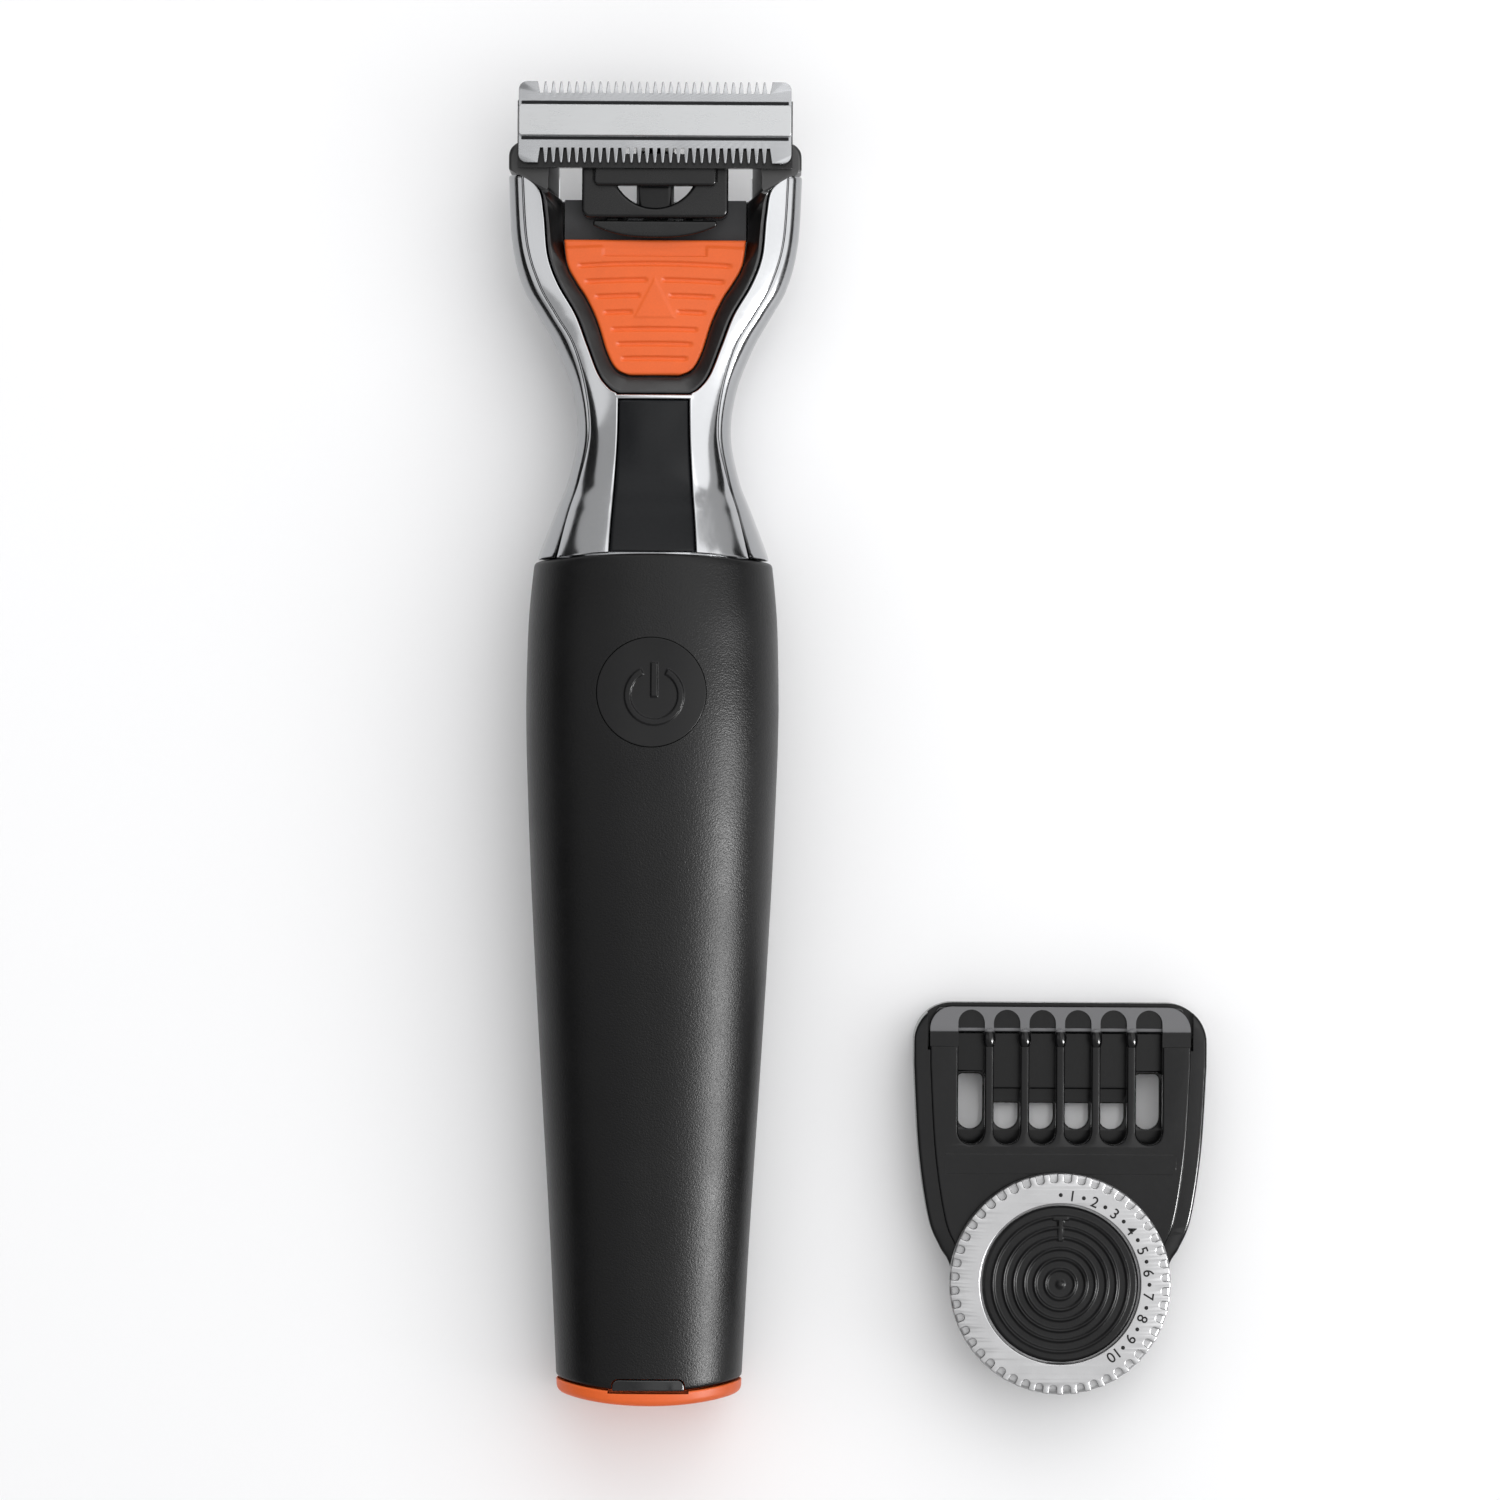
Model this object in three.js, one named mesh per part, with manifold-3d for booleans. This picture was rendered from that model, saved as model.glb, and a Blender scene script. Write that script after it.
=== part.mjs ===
// Beard trimmer with a double-edged blade head, and its dial comb lying beside the handle.
// Millimetres. +Y runs along the handle to the blade, +Z is the front face, and the origin is on
// the flat back of the handle, on its middle line.
import * as THREE from 'three';
import { mergeVertices } from 'three/addons/utils/BufferGeometryUtils.js';
import Module from 'manifold-3d';

const wasm = await Module();
wasm.setup();

// ---- driving dimensions ----
const GAP = 0.3;                 // between pieces that touch
const WALL = 1.8;                // handle sleeve wall
const HANDLE_TOP = 49.3;         // where the sleeve meets the neck, on the middle line
const HANDLE_TOP_ARC = 116;      // radius of that curved edge
const HANDLE_END = -57.95;       // where the sleeve meets the base cap
const BASE_END = -59.9;          // outer end of the base cap
const BASE_ARC = 52;             // radius of both curved edges at the base
const SECTION_POWER = 2.4;       // roundness of the handle's section: 2 is an ellipse
const BUTTON_Y = 31.6;
const BUTTON_RADIUS = 7.0;
const MOTOR_Z = 12;
const MOTOR_RADIUS = 6;
const MOTOR_SCREW_X = 4.4;
const ECCENTRIC_THROW = 0.45;
const BATTERY_RADIUS = 7;
const BATTERY_Z = 10.8;
const LEVER_PIVOT_Y = 68;
const STEM_TIP_Y = 102.8;        // where the lever's pin drives the cutter
const BAY_TOP = 95.2;            // upper edge of the wall behind the bay
const BAY_FLOOR = 10.2;          // underside of the bay floor
const BAY_FLOOR_TOP = 11;
const RIM_TOP = 16.6;            // front of the black bezel
const BACK_WALL_TOP = 8.1;       // inner face of the yoke's back wall
const BRACKET_HALF = 9.4;
const BLADE_HALF = 17.45;
const BLADE_LOW = 99.3;
const BLADE_HIGH = 109.7;
const PIVOT_Y = 102.8;
const PIVOT_Z = 15.2;
const TOOTH_PITCH = 1;
const TOOTH_COUNT = 29;
const COMB_X = 53;               // dial centre
const COMB_Y = -44.35;
const COMB_HALF = 18.95;
const COMB_TOP = 36.05;          // from the dial centre
const COMB_WALL = 1.75;
const SLOT_PITCH = 4.6;
const SLOT_COUNT = 6;
const SLOT_WIDTH = 3.4;
const DIAL_RADIUS = 14.3;
const DIAL_DISC_RADIUS = 10.3;
const DIAL_NOTCHES = 48;
const NOTCH_DEPTH = 0.9;
const PINION_RADIUS = 2;         // pitch radius
const PINION_TEETH = 10;

// ---- finishes: colour, roughness, metalness ----
const FINISHES = {
  softBlack: [0x1b1b1c, 0.62, 0],
  glossBlack: [0x151516, 0.22, 0],
  satinBlack: [0x1a1a1b, 0.4, 0],
  darkGrey: [0x38383a, 0.5, 0],
  chrome: [0xd8d8da, 0.08, 1],
  orange: [0xef6a2a, 0.42, 0],
  steel: [0xbfc0c2, 0.28, 1],
  satinSilver: [0xc9cacc, 0.32, 1],
  smokedWindow: [0x202024, 0.12, 0],
  brass: [0xb8963f, 0.3, 1],
  boardGreen: [0x1d5a35, 0.5, 0],
  cellBlue: [0x2c4f86, 0.45, 0],
  whitePlastic: [0xd9d7cf, 0.5, 0],
  clearWhite: [0xf2f2ea, 0.2, 0],
};

const trimmer = new THREE.Group();
const comb = new THREE.Group();
comb.position.set(COMB_X, COMB_Y, 0);
trimmer.add(comb);

function add(name, finish, geometry, group = trimmer) {
  const [color, roughness, metalness] = FINISHES[finish];
  const material = new THREE.MeshStandardMaterial({ color, roughness, metalness });
  const mesh = new THREE.Mesh(geometry, material);
  mesh.name = name;
  group.add(mesh);
}

// ---- solids ----
function solidOf(geometry) {
  const bare = geometry.clone();
  bare.deleteAttribute('normal');
  bare.deleteAttribute('uv');
  const merged = mergeVertices(bare, 1e-4);
  const vertProperties = new Float32Array(merged.attributes.position.array);
  const triVerts = new Uint32Array(merged.index.array);
  return new wasm.Manifold(new wasm.Mesh({ numProp: 3, vertProperties, triVerts }));
}

function geometryOf(solid) {
  const mesh = solid.getMesh();
  const geometry = new THREE.BufferGeometry();
  geometry.setAttribute('position', new THREE.BufferAttribute(new Float32Array(mesh.vertProperties), 3));
  geometry.setIndex(new THREE.BufferAttribute(new Uint32Array(mesh.triVerts), 1));
  return geometry;
}

function join(...geometries) {
  return geometryOf(geometries.map(solidOf).reduce((sum, next) => sum.add(next)));
}

function cut(base, ...tools) {
  return geometryOf(tools.map(solidOf).reduce((rest, tool) => rest.subtract(tool), solidOf(base)));
}

function common(...geometries) {
  return geometryOf(geometries.map(solidOf).reduce((shared, next) => shared.intersect(next)));
}

function block(x0, x1, y0, y1, z0, z1) {
  const geometry = new THREE.BoxGeometry(x1 - x0, y1 - y0, z1 - z0);
  return geometry.translate((x0 + x1) / 2, (y0 + y1) / 2, (z0 + z1) / 2);
}

// The same block on the right and, mirrored, on the left.
function bothSides(x0, x1, y0, y1, z0, z1) {
  return [block(x0, x1, y0, y1, z0, z1), block(-x1, -x0, y0, y1, z0, z1)];
}

function rodY(radius, y0, y1, x, z, sides = 24) {
  return new THREE.CylinderGeometry(radius, radius, y1 - y0, sides).translate(x, (y0 + y1) / 2, z);
}

function rodZ(radius, z0, z1, x, y, sides = 24) {
  const rod = new THREE.CylinderGeometry(radius, radius, z1 - z0, sides).rotateX(Math.PI / 2);
  return rod.translate(x, y, (z0 + z1) / 2);
}

function rodX(radius, x0, x1, y, z, sides = 16) {
  const rod = new THREE.CylinderGeometry(radius, radius, x1 - x0, sides).rotateZ(Math.PI / 2);
  return rod.translate((x0 + x1) / 2, y, z);
}

function plate(shape, z0, z1, curveSegments = 8) {
  return new THREE.ExtrudeGeometry(shape, { depth: z1 - z0, bevelEnabled: false, curveSegments })
    .translate(0, 0, z0);
}

// Sections along Y: each control is [y, half width, low z, high z].
function smoothSections(controls, count) {
  const widths = new THREE.SplineCurve(controls.map(([y, half]) => new THREE.Vector2(y, half)));
  const heights = new THREE.SplineCurve(controls.map(([, , low, high]) => new THREE.Vector2(low, high)));
  return Array.from({ length: count }, (_, i) => {
    const place = widths.getPoint(i / (count - 1));
    const height = heights.getPoint(i / (count - 1));
    return { y: place.x, half: place.y, low: height.x, high: height.y };
  });
}

function inset(sections, by) {
  return sections.map(({ y, half, low, high }) => ({ y, half: half - by, low: low + by, high: high - by }));
}

// A closed body through rounded sections: a cylinder whose rings take each section's shape.
function loft(sections, sides, power, floor = -Infinity) {
  const geometry = new THREE.CylinderGeometry(1, 1, 1, sides, sections.length - 1);
  const position = geometry.attributes.position;
  const rounded = (value) => Math.sign(value) * Math.abs(value) ** (2 / power);
  for (let i = 0; i < position.count; i += 1) {
    const section = sections[Math.round((position.getY(i) + 0.5) * (sections.length - 1))];
    const middle = (section.low + section.high) / 2;
    const radius = (section.high - section.low) / 2;
    const x = section.half * rounded(position.getX(i));
    const z = middle + radius * rounded(position.getZ(i));
    position.setXYZ(i, x, section.y, Math.max(floor, z));
  }
  return geometry;
}

function disc(radius, lowestY, z0 = -5, z1 = 35) {
  return rodZ(radius, z0, z1, 0, lowestY + radius, 120);
}

// Everything above a base edge that is curved like the cap.
function aboveBaseEdge(lowestY) {
  return join(disc(BASE_ARC, lowestY), block(-30, 30, lowestY + BASE_ARC, 60, -5, 35));
}

// The right-hand edge of an outline through [y, half width] controls, from the bottom up.
function smoothEdge(controls, count, widen = 0) {
  const points = controls.map(([y, half]) => new THREE.Vector2(half + widen, y));
  return new THREE.SplineCurve(points).getPoints(count);
}

function mirroredShape(rightEdge) {
  const leftEdge = rightEdge.map(({ x, y }) => new THREE.Vector2(-x, y)).reverse();
  return new THREE.Shape([...rightEdge, ...leftEdge]);
}

// A profile drawn in Y and Z, extruded across X.
function sidePlate(shape, x0, x1) {
  return plate(shape, x0, x1).rotateY(Math.PI / 2).rotateX(Math.PI / 2);
}

function mirrored(geometry) {
  return flipFaces(geometry.clone().scale(-1, 1, 1));
}

function flipFaces(geometry) {
  const faces = geometry.index ? geometry : mergeVertices(geometry, 1e-5);
  const index = faces.index;
  for (let i = 0; i < index.count; i += 3) {
    const first = index.getX(i);
    index.setX(i, index.getX(i + 1));
    index.setX(i + 1, first);
  }
  return faces;
}

// A left and a right copy of a piece that is drawn on the right.
function addPair(name, finish, right, group = trimmer) {
  add(`${name}_left`, finish, mirrored(right), group);
  add(`${name}_right`, finish, right, group);
}

function wire(points, radius, steps) {
  const section = new THREE.Shape().absarc(0, 0, radius, 0, 2 * Math.PI);
  const extrudePath = new THREE.CatmullRomCurve3(points.map((point) => new THREE.Vector3(...point)));
  return new THREE.ExtrudeGeometry(section, { extrudePath, steps, curveSegments: 3 });
}

// ---- handle ----
const handleControls = [
  [-60.5, 11.8, -0.5, 19.8], [-40, 12.8, -0.5, 21.2], [-20, 14.0, -0.5, 23.0], [0, 15.15, -0.5, 25.0],
  [15, 15.85, -0.5, 26.2], [28, 16.25, -0.5, 26.8], [38.4, 16.1, -0.5, 26.4], [44, 15.75, -0.5, 25.9],
  [50, 15.1, -0.5, 25.0],
];
const handleSections = smoothSections(handleControls, 13);

function handleOutside() {
  return loft(handleSections, 32, SECTION_POWER, 0);
}

function handleInside(extra = 0) {
  const inner = inset(handleSections, WALL + extra).map((ring) => ({ ...ring, low: ring.low + 0.5 }));
  inner[0].y -= 2;
  inner[inner.length - 1].y += 2;
  return loft(inner, 24, SECTION_POWER);
}

function upperDisc(margin = 0) {
  return disc(HANDLE_TOP_ARC, HANDLE_TOP - margin - 2 * HANDLE_TOP_ARC);
}

const windowOutline = { half: 4.6, low: -58.6, high: -56.5, floor: 16 };

function windowBlock(margin) {
  const { half, low, high, floor } = windowOutline;
  const shape = new THREE.Shape();
  const reach = half + margin;
  const corner = 0.9;
  shape.moveTo(-reach, low);
  shape.lineTo(reach, low);
  shape.lineTo(reach, high + margin - corner);
  shape.absarc(reach - corner, high + margin - corner, corner, 0, Math.PI / 2);
  shape.absarc(corner - reach, high + margin - corner, corner, Math.PI / 2, Math.PI);
  return plate(shape, floor - margin, 24, 3);
}

function buildHandle() {
  const outside = common(handleOutside(), upperDisc(), aboveBaseEdge(HANDLE_END));
  const buttonHole = rodZ(BUTTON_RADIUS + GAP, 20, 30, 0, BUTTON_Y, 40);
  add('handle_sleeve', 'softBlack', cut(outside, handleInside(), buttonHole, windowBlock(GAP)));

  const lens = common(handleOutside(), aboveBaseEdge(HANDLE_END), windowBlock(0));
  add('charge_window', 'smokedWindow', cut(lens, block(-9, 9, -60, -50, 10, 18)));

  const capBand = cut(common(handleOutside(), aboveBaseEdge(BASE_END)), aboveBaseEdge(HANDLE_END - GAP));
  const plug = cut(common(handleInside(GAP), block(-20, 20, -58.4, -55, 0, 30)), handleInside(GAP + 1.4));
  const socketHole = rodY(3.4, -62, -50, 0, 10);
  const windowRelief = windowBlock(2 * GAP).translate(0, 0.5, 0);
  add('base_cap', 'orange', cut(join(capBand, plug), socketHole, windowRelief));
}

// ---- charging end ----
function buildChargingEnd() {
  const barrel = cut(rodY(3.1, -59.6, -50.6, 0, 10), rodY(1.9, -61, -52, 0, 10));
  add('charging_socket', 'satinBlack', barrel);
  add('charging_pin', 'brass', rodY(0.65, -58.4, -52.3, 0, 10, 12));
  add('charge_board', 'boardGreen', block(-8, 8, -50.2, -49, 4.5, 16));
  add('charge_led', 'clearWhite', block(-1.2, 1.2, -52.2, -50.5, 14.2, 16.4));
  const lead = [[7.2, -48.6, 12.5], [8.7, -44, 13], [8.7, -22, 14.6], [7.4, -8, 17], [7, -4, 18.2]];
  addPair('charge_lead', 'softBlack', wire(lead, 0.5, 14));
}

// ---- power train ----
function buildPower() {
  add('battery', 'cellBlue', rodY(BATTERY_RADIUS, -46, 4, 0, BATTERY_Z, 28));
  add('battery_contact_rear', 'steel', block(-3, 3, -47.2, -46.4, BATTERY_Z - 4, BATTERY_Z + 4));
  add('battery_contact_front', 'steel', block(-3, 3, 4.4, 5.2, BATTERY_Z - 4, BATTERY_Z + 4));

  const floor = block(-6.5, 6.5, -47.5, 43, 2.1, 3.4);
  const bulkhead = block(-20, 20, 5.8, 7.4, 2.4, 18);
  const motorStop = block(-20, 20, 41.8, 43, 2.4, 18);
  const shaftHole = rodY(3, 41, 44, 0, MOTOR_Z);
  const screwHoles = [-1, 1].map((side) => rodY(0.9, 37.8, 44, side * MOTOR_SCREW_X, MOTOR_Z, 12));
  const frame = common(join(floor, bulkhead, motorStop), handleInside(2 * GAP));
  add('chassis', 'satinBlack', cut(frame, shaftHole, ...screwHoles));

  const can = join(rodY(MOTOR_RADIUS, 14, 39.6, 0, MOTOR_Z, 28), rodY(2.6, 39, 41.4, 0, MOTOR_Z, 20));
  add('motor_can', 'steel', cut(can, rodY(1.1, 36, 42, 0, MOTOR_Z, 20), ...screwHoles));
  const screwShank = rodY(0.6, 38.2, 43.6, MOTOR_SCREW_X, MOTOR_Z, 10);
  const screwHead = rodY(1.2, 43.3, 44.2, MOTOR_SCREW_X, MOTOR_Z, 12);
  addPair('motor_screw', 'steel', join(screwShank, screwHead));
  const motorLead = [[3.5, 9.9, 13], [5, 9.2, 15], [6.2, 9, 17], [6.4, 8.9, 18.3]];
  addPair('motor_lead', 'softBlack', wire(motorLead, 0.4, 6));
  add('motor_end_cap', 'whitePlastic', rodY(MOTOR_RADIUS - 0.3, 10.4, 13.7, 0, MOTOR_Z, 28));
  add('motor_shaft', 'steel', rodY(1, 36.4, 48, 0, MOTOR_Z, 16));
  const cam = join(rodY(3, 45, 49, 0, MOTOR_Z, 24), rodY(0.8, 48.5, 54, ECCENTRIC_THROW, MOTOR_Z, 14));
  add('eccentric', 'whitePlastic', cut(cam, rodY(1.3, 44, 48.3, 0, MOTOR_Z, 20)));
}

function buildSwitch() {
  add('control_board', 'boardGreen', block(-8, 8, -10, 41, 18.7, 19.5));
  add('tact_switch', 'satinBlack', block(-2.6, 2.6, BUTTON_Y - 2.6, BUTTON_Y + 2.6, 19.8, 21));
  const ring = cut(rodZ(8.4, 21.6, 22.1, 0, BUTTON_Y), rodZ(2.2, 21, 23, 0, BUTTON_Y, 16));
  add('button_seal', 'softBlack', ring);

  const lowered = inset(handleSections, 0.25);
  const face = common(loft(lowered, 32, SECTION_POWER), rodZ(BUTTON_RADIUS, 23.4, 30, 0, BUTTON_Y, 40));
  const flange = rodZ(8.1, 22.9, 23.6, 0, BUTTON_Y);
  const stem = rodZ(1.6, 21.75, 23.2, 0, BUTTON_Y, 16);
  add('power_button', 'satinBlack', join(face, flange, stem));
}

// ---- neck and yoke ----
const neckControls = [
  [46.5, 15.3, 0.4, 25.0], [49.3, 14.7, 0.8, 24.4], [55.1, 12.5, 2.8, 21.8], [59, 11.0, 4.2, 20.2],
  [64.7, 9.9, 5.2, 19.0], [70.5, 10.6, 5.9, 18.3], [76.2, 12.8, 6.4, 17.9], [80.1, 15.0, 6.7, 17.7],
  [84, 17.1, 6.9, 17.5], [89.7, 18.45, 7.0, 17.3], [98.2, 18.9, 7.2, 17.0],
];
const NECK_POWER = 2.7;
const TRIM_FLOOR = 13.6;
const partingControls = [
  [46.5, 13.1], [49.3, 12.5], [55.1, 10.9], [59, 9.65], [64.7, 8.5], [70.5, 9.0], [76.2, 10.6], [80.1, 12.9],
  [84, 15.1], [89.7, 16.8], [98.6, 17.4],
];
const stripControls = [[46.5, 5.8], [52, 5.55], [58, 5.1], [64, 4.75], [69.5, 4.65]];
const bezelControls = [
  [70.0, 4.6], [70.6, 5.6], [72.4, 7.0], [76.2, 8.5], [80.1, 10.0], [84, 12.25], [87.8, 13.6], [93, 14.1],
  [96.4, 14.8], [98.2, 17.2], [98.6, 18.8],
];
const recessControls = [
  [72.1, 3.4], [72.9, 5.0], [75, 6.2], [79, 7.5], [82, 8.9], [84, 10.2], [86.4, 11.4], [90.4, 11.9],
];
const SLIDER_END = 89.85;
const BEZEL_SCREW_Y = 85.4;
const BEZEL_SCREW_SIDES = [-7.6, 7.6];

function neckBody(lower = 0) {
  const sections = smoothSections(neckControls, 23);
  return loft(sections, 28, NECK_POWER).translate(0, 0, -lower);
}

function planPlate(controls, widen, z0, z1, count = 24) {
  return plate(mirroredShape(smoothEdge(controls, count, widen)), z0, z1);
}

function leverCavity() {
  const mouth = loft([
    { y: 47, half: 11.6, low: 2.8, high: 21.4 }, { y: 51, half: 10.4, low: 3.6, high: 20.2 },
    { y: 57, half: 5.6, low: 7.2, high: 16.0 },
  ], 16, 3);
  return join(mouth, block(-5.5, 5.5, 55, 71, 7.2, TRIM_FLOOR - GAP));
}

function buildNeck() {
  const sleeveEdge = upperDisc(-GAP);
  const trimSpace = planPlate(partingControls, 0, TRIM_FLOOR - GAP, 30);
  const bezelSpace = planPlate(bezelControls, GAP, BACK_WALL_TOP, 30);
  const betweenTips = block(-12.5, 12.5, BAY_TOP, 110, 0, 30);
  const cavity = leverCavity();
  const shellBody = cut(neckBody(), sleeveEdge, trimSpace, bezelSpace, betweenTips, cavity);

  const spigotRing = [43.6, 50.6].map((y) => ({ y, half: 13, low: 2.4, high: 22.4 }));
  const spigot = cut(
    loft(spigotRing, 28, SECTION_POWER),
    loft(inset(spigotRing, 1.3).map((ring, i) => ({ ...ring, y: ring.y + 4 * i - 2 })), 24, SECTION_POWER),
    block(-20, 20, 48.6, 52, TRIM_FLOOR - GAP, 30),
  );
  const boss = cut(rodZ(2.5, 7, 8.1, 0, LEVER_PIVOT_Y), rodZ(1.3, 6.9, 9, 0, LEVER_PIVOT_Y));
  const screwPosts = BEZEL_SCREW_SIDES.map((x) => rodZ(1.9, 7.8, BAY_FLOOR - GAP, x, BEZEL_SCREW_Y, 16));
  const screwHoles = BEZEL_SCREW_SIDES.map((x) => rodZ(0.9, 7.7, 12, x, BEZEL_SCREW_Y, 12));
  add('neck_rear_shell', 'chrome', cut(join(shellBody, spigot, boss, ...screwPosts), ...screwHoles));

  const trimPlate = planPlate(partingControls, -0.35, TRIM_FLOOR, 30);
  const stripSpace = planPlate(stripControls, 0, 0, 30, 12);
  const stripPocket = cut(stripSpace, neckBody(1.7));
  const front = cut(
    common(neckBody(), trimPlate), sleeveEdge, planPlate(bezelControls, GAP, 0, 30), cavity, stripPocket,
  );
  add('neck_front_trim', 'chrome', front);

  const stripSides = planPlate(stripControls, -GAP, 0, 30, 12);
  const strip = common(neckBody(0.2), stripSides, block(-9, 9, 40, 69.2, 10, 30));
  add('neck_inlay_strip', 'satinBlack', cut(strip, neckBody(1.4), sleeveEdge));
  add('lever_pivot_pin', 'steel', rodZ(1, 7.5, 11.4, 0, LEVER_PIVOT_Y, 20));
}

function tipPad() {
  const shape = new THREE.Shape();
  shape.moveTo(12.5, 98.2);
  shape.lineTo(18.8, 98.5);
  shape.lineTo(18.8, 100.4);
  shape.absarc(16.9, 100.4, 1.9, 0, Math.PI / 2);
  shape.lineTo(12.5, 102.3);
  return plate(shape, 7.6, 17, 5);
}

function buildBay() {
  const rim = planPlate(bezelControls, 0, BAY_FLOOR, RIM_TOP);
  const bed = planPlate(recessControls, 0, BAY_FLOOR_TOP, 30);
  const upper = block(-12, 12, 89.6, BAY_TOP + 0.1, 0, 30);
  const opening = block(-12.5, 12.5, BAY_TOP, 110, 0, 30);
  const springSeat = block(-1, 1, 73.6, 74.6, BAY_FLOOR_TOP - 0.2, 12.6);
  const sinkFloor = BAY_FLOOR_TOP - 0.5;
  const screwSinks = BEZEL_SCREW_SIDES.map((x) => rodZ(1.8, sinkFloor, 12, x, BEZEL_SCREW_Y, 16));
  const screwHoles = BEZEL_SCREW_SIDES.map((x) => rodZ(0.9, 10, 12, x, BEZEL_SCREW_Y, 12));
  const body = cut(rim, bed, upper, opening, ...screwSinks, ...screwHoles);
  const pad = tipPad();
  add('yoke_bezel', 'satinBlack', join(body, pad, mirrored(pad), springSeat));
  const screwX = BEZEL_SCREW_SIDES[1];
  const screwShank = rodZ(0.7, 8, 10.8, screwX, BEZEL_SCREW_Y, 12);
  const screwHead = rodZ(1.5, 10.6, 11.1, screwX, BEZEL_SCREW_Y, 16);
  addPair('bezel_screw', 'steel', join(screwShank, screwHead));

  const leverSlot = block(-3.6, 3.6, 92, 100, 0, 30);
  add('bay_panel', 'darkGrey', cut(block(-11.7, 11.7, 89.9, BAY_TOP, BAY_FLOOR, BAY_FLOOR_TOP), leverSlot));

  const wall = block(-6.4, 6.4, 91.5, 92.3, BAY_FLOOR_TOP + GAP, 16.2);
  const flange = block(-6.7, 6.7, 90.1, 91.9, 13.2, 16.2);
  const pegs = [-5.5, 5.5].map((x) => block(x - 0.7, x + 0.7, 92, 94.4, 11.6, 13.6));
  const stemSlot = block(-3.7, 3.7, 91, 93, 10, 15);
  add('head_turret', 'satinBlack', cut(join(wall, flange, ...pegs), stemSlot));
}

// ---- release slider ----
const SLIDER_TOP_Z = 15.4;
const GROOVE_DEPTH = 0.25;
// Each groove: its place along Y, its outer reach, and half the gap that it leaves for the arrow.
const grooveRows = [
  [74.6, 4.5, 0], [76.5, 5.1, 0], [78.4, 5.8, 0], [80.6, 6.8, 2.9], [82.7, 7.9, 1.9], [84.7, 9.2, 1],
  [86.8, 10.1, 0],
];

function buildSlider() {
  const edge = smoothEdge(recessControls, 20, -GAP - 0.05).map((point) => point.setY(point.y + 0.35));
  const sliderFloor = BAY_FLOOR_TOP + GAP;
  const outline = plate(mirroredShape(edge), sliderFloor, SLIDER_TOP_Z);
  const body = common(outline, block(-20, 20, 70, SLIDER_END, 0, 30));
  const arrow = new THREE.Shape();
  arrow.moveTo(-2.7, 79.8);
  arrow.lineTo(2.7, 79.8);
  arrow.lineTo(0, 85.4);
  const lip = block(-13, 13, 88.2, 92, 12.8, 20);
  const springPocket = block(-1.4, 1.4, 71, 83.4, 10, 13.2);
  const grooves = grooveRows.flatMap(([y, reach, gap]) => {
    const groove = [y - 0.2, y + 0.2, SLIDER_TOP_Z - GROOVE_DEPTH, 16];
    return gap ? bothSides(gap, reach, ...groove) : [block(-reach, reach, ...groove)];
  });
  const grooved = cut(body, lip, springPocket, ...grooves);
  add('release_slider', 'orange', join(grooved, plate(arrow, SLIDER_TOP_Z - 0.2, SLIDER_TOP_Z + 0.2)));
}

function buildReleaseSpring() {
  const turns = 5;
  const steps = 8 * turns;
  const points = Array.from({ length: steps + 1 }, (_, i) => {
    const angle = (i / 8) * 2 * Math.PI;
    return [0.7 * Math.cos(angle), 75 + (7.6 * i) / steps, 12.1 + 0.7 * Math.sin(angle)];
  });
  add('release_spring', 'steel', wire(points, 0.14, steps));
}

// ---- drive lever ----
function buildLever() {
  const prongs = bothSides(2, 3.3, 50.6, 56.4, 9.6, 14.4);
  const bridge = block(-3.3, 3.3, 55.4, 57, 8.4, 13.1);
  const arm = block(-1.6, 1.6, 56.5, 94.4, 8.4, 9.8);
  const hub = rodZ(2.6, 8.4, 9.9, 0, LEVER_PIVOT_Y);
  const riser = block(-1.6, 1.6, 92.8, 94.4, 8.6, 14.4);
  const stem = block(-2.4, 2.4, 92.8, 103.4, 12.6, 14.6);
  const pin = rodZ(1.1, 13, 18.3, 0, STEM_TIP_Y, 20);
  const body = join(...prongs, bridge, arm, hub, riser, stem, pin);
  add('drive_lever', 'satinBlack', cut(body, rodZ(1.08, 8, 12, 0, LEVER_PIVOT_Y)));
}

// ---- blade head ----
function buildBracket() {
  const crosspiece = block(-BRACKET_HALF, BRACKET_HALF, 92.6, 100, BAY_FLOOR_TOP + GAP, 16.8);
  const ears = bothSides(8.3, BRACKET_HALF, 99, 105, 12.4, 16.8);
  const notch = rodZ(5.6, 0, 30, 0, 99.5, 32);
  const channel = block(-3.9, 3.9, 90, 106, 10, 15);
  const sockets = [-5.5, 5.5].map((x) => block(x - 1, x + 1, 92, 94.7, 11.2, 13.9));
  const pinHole = rodX(0.78, -12, 12, PIVOT_Y, PIVOT_Z);
  const relief = block(-8, 8, 97.6, 101, 15.4, 20);
  const bracket = cut(join(crosspiece, ...ears), notch, channel, relief, pinHole, ...sockets);
  add('head_bracket', 'satinBlack', bracket);
}

function toothedEdge(shape, y, length, direction) {
  const start = -direction * (TOOTH_COUNT / 2) * TOOTH_PITCH;
  const gapFoot = 0.36;
  for (let tooth = 0; tooth < TOOTH_COUNT; tooth += 1) {
    const x = start + direction * tooth * TOOTH_PITCH;
    const tip = y + length;
    shape.lineTo(x + direction * 0.22, y);
    shape.lineTo(x + direction * (gapFoot - 0.02), tip);
    shape.lineTo(x + direction * (1 - gapFoot + 0.02), tip);
    shape.lineTo(x + direction * 0.78, y);
  }
}

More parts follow.
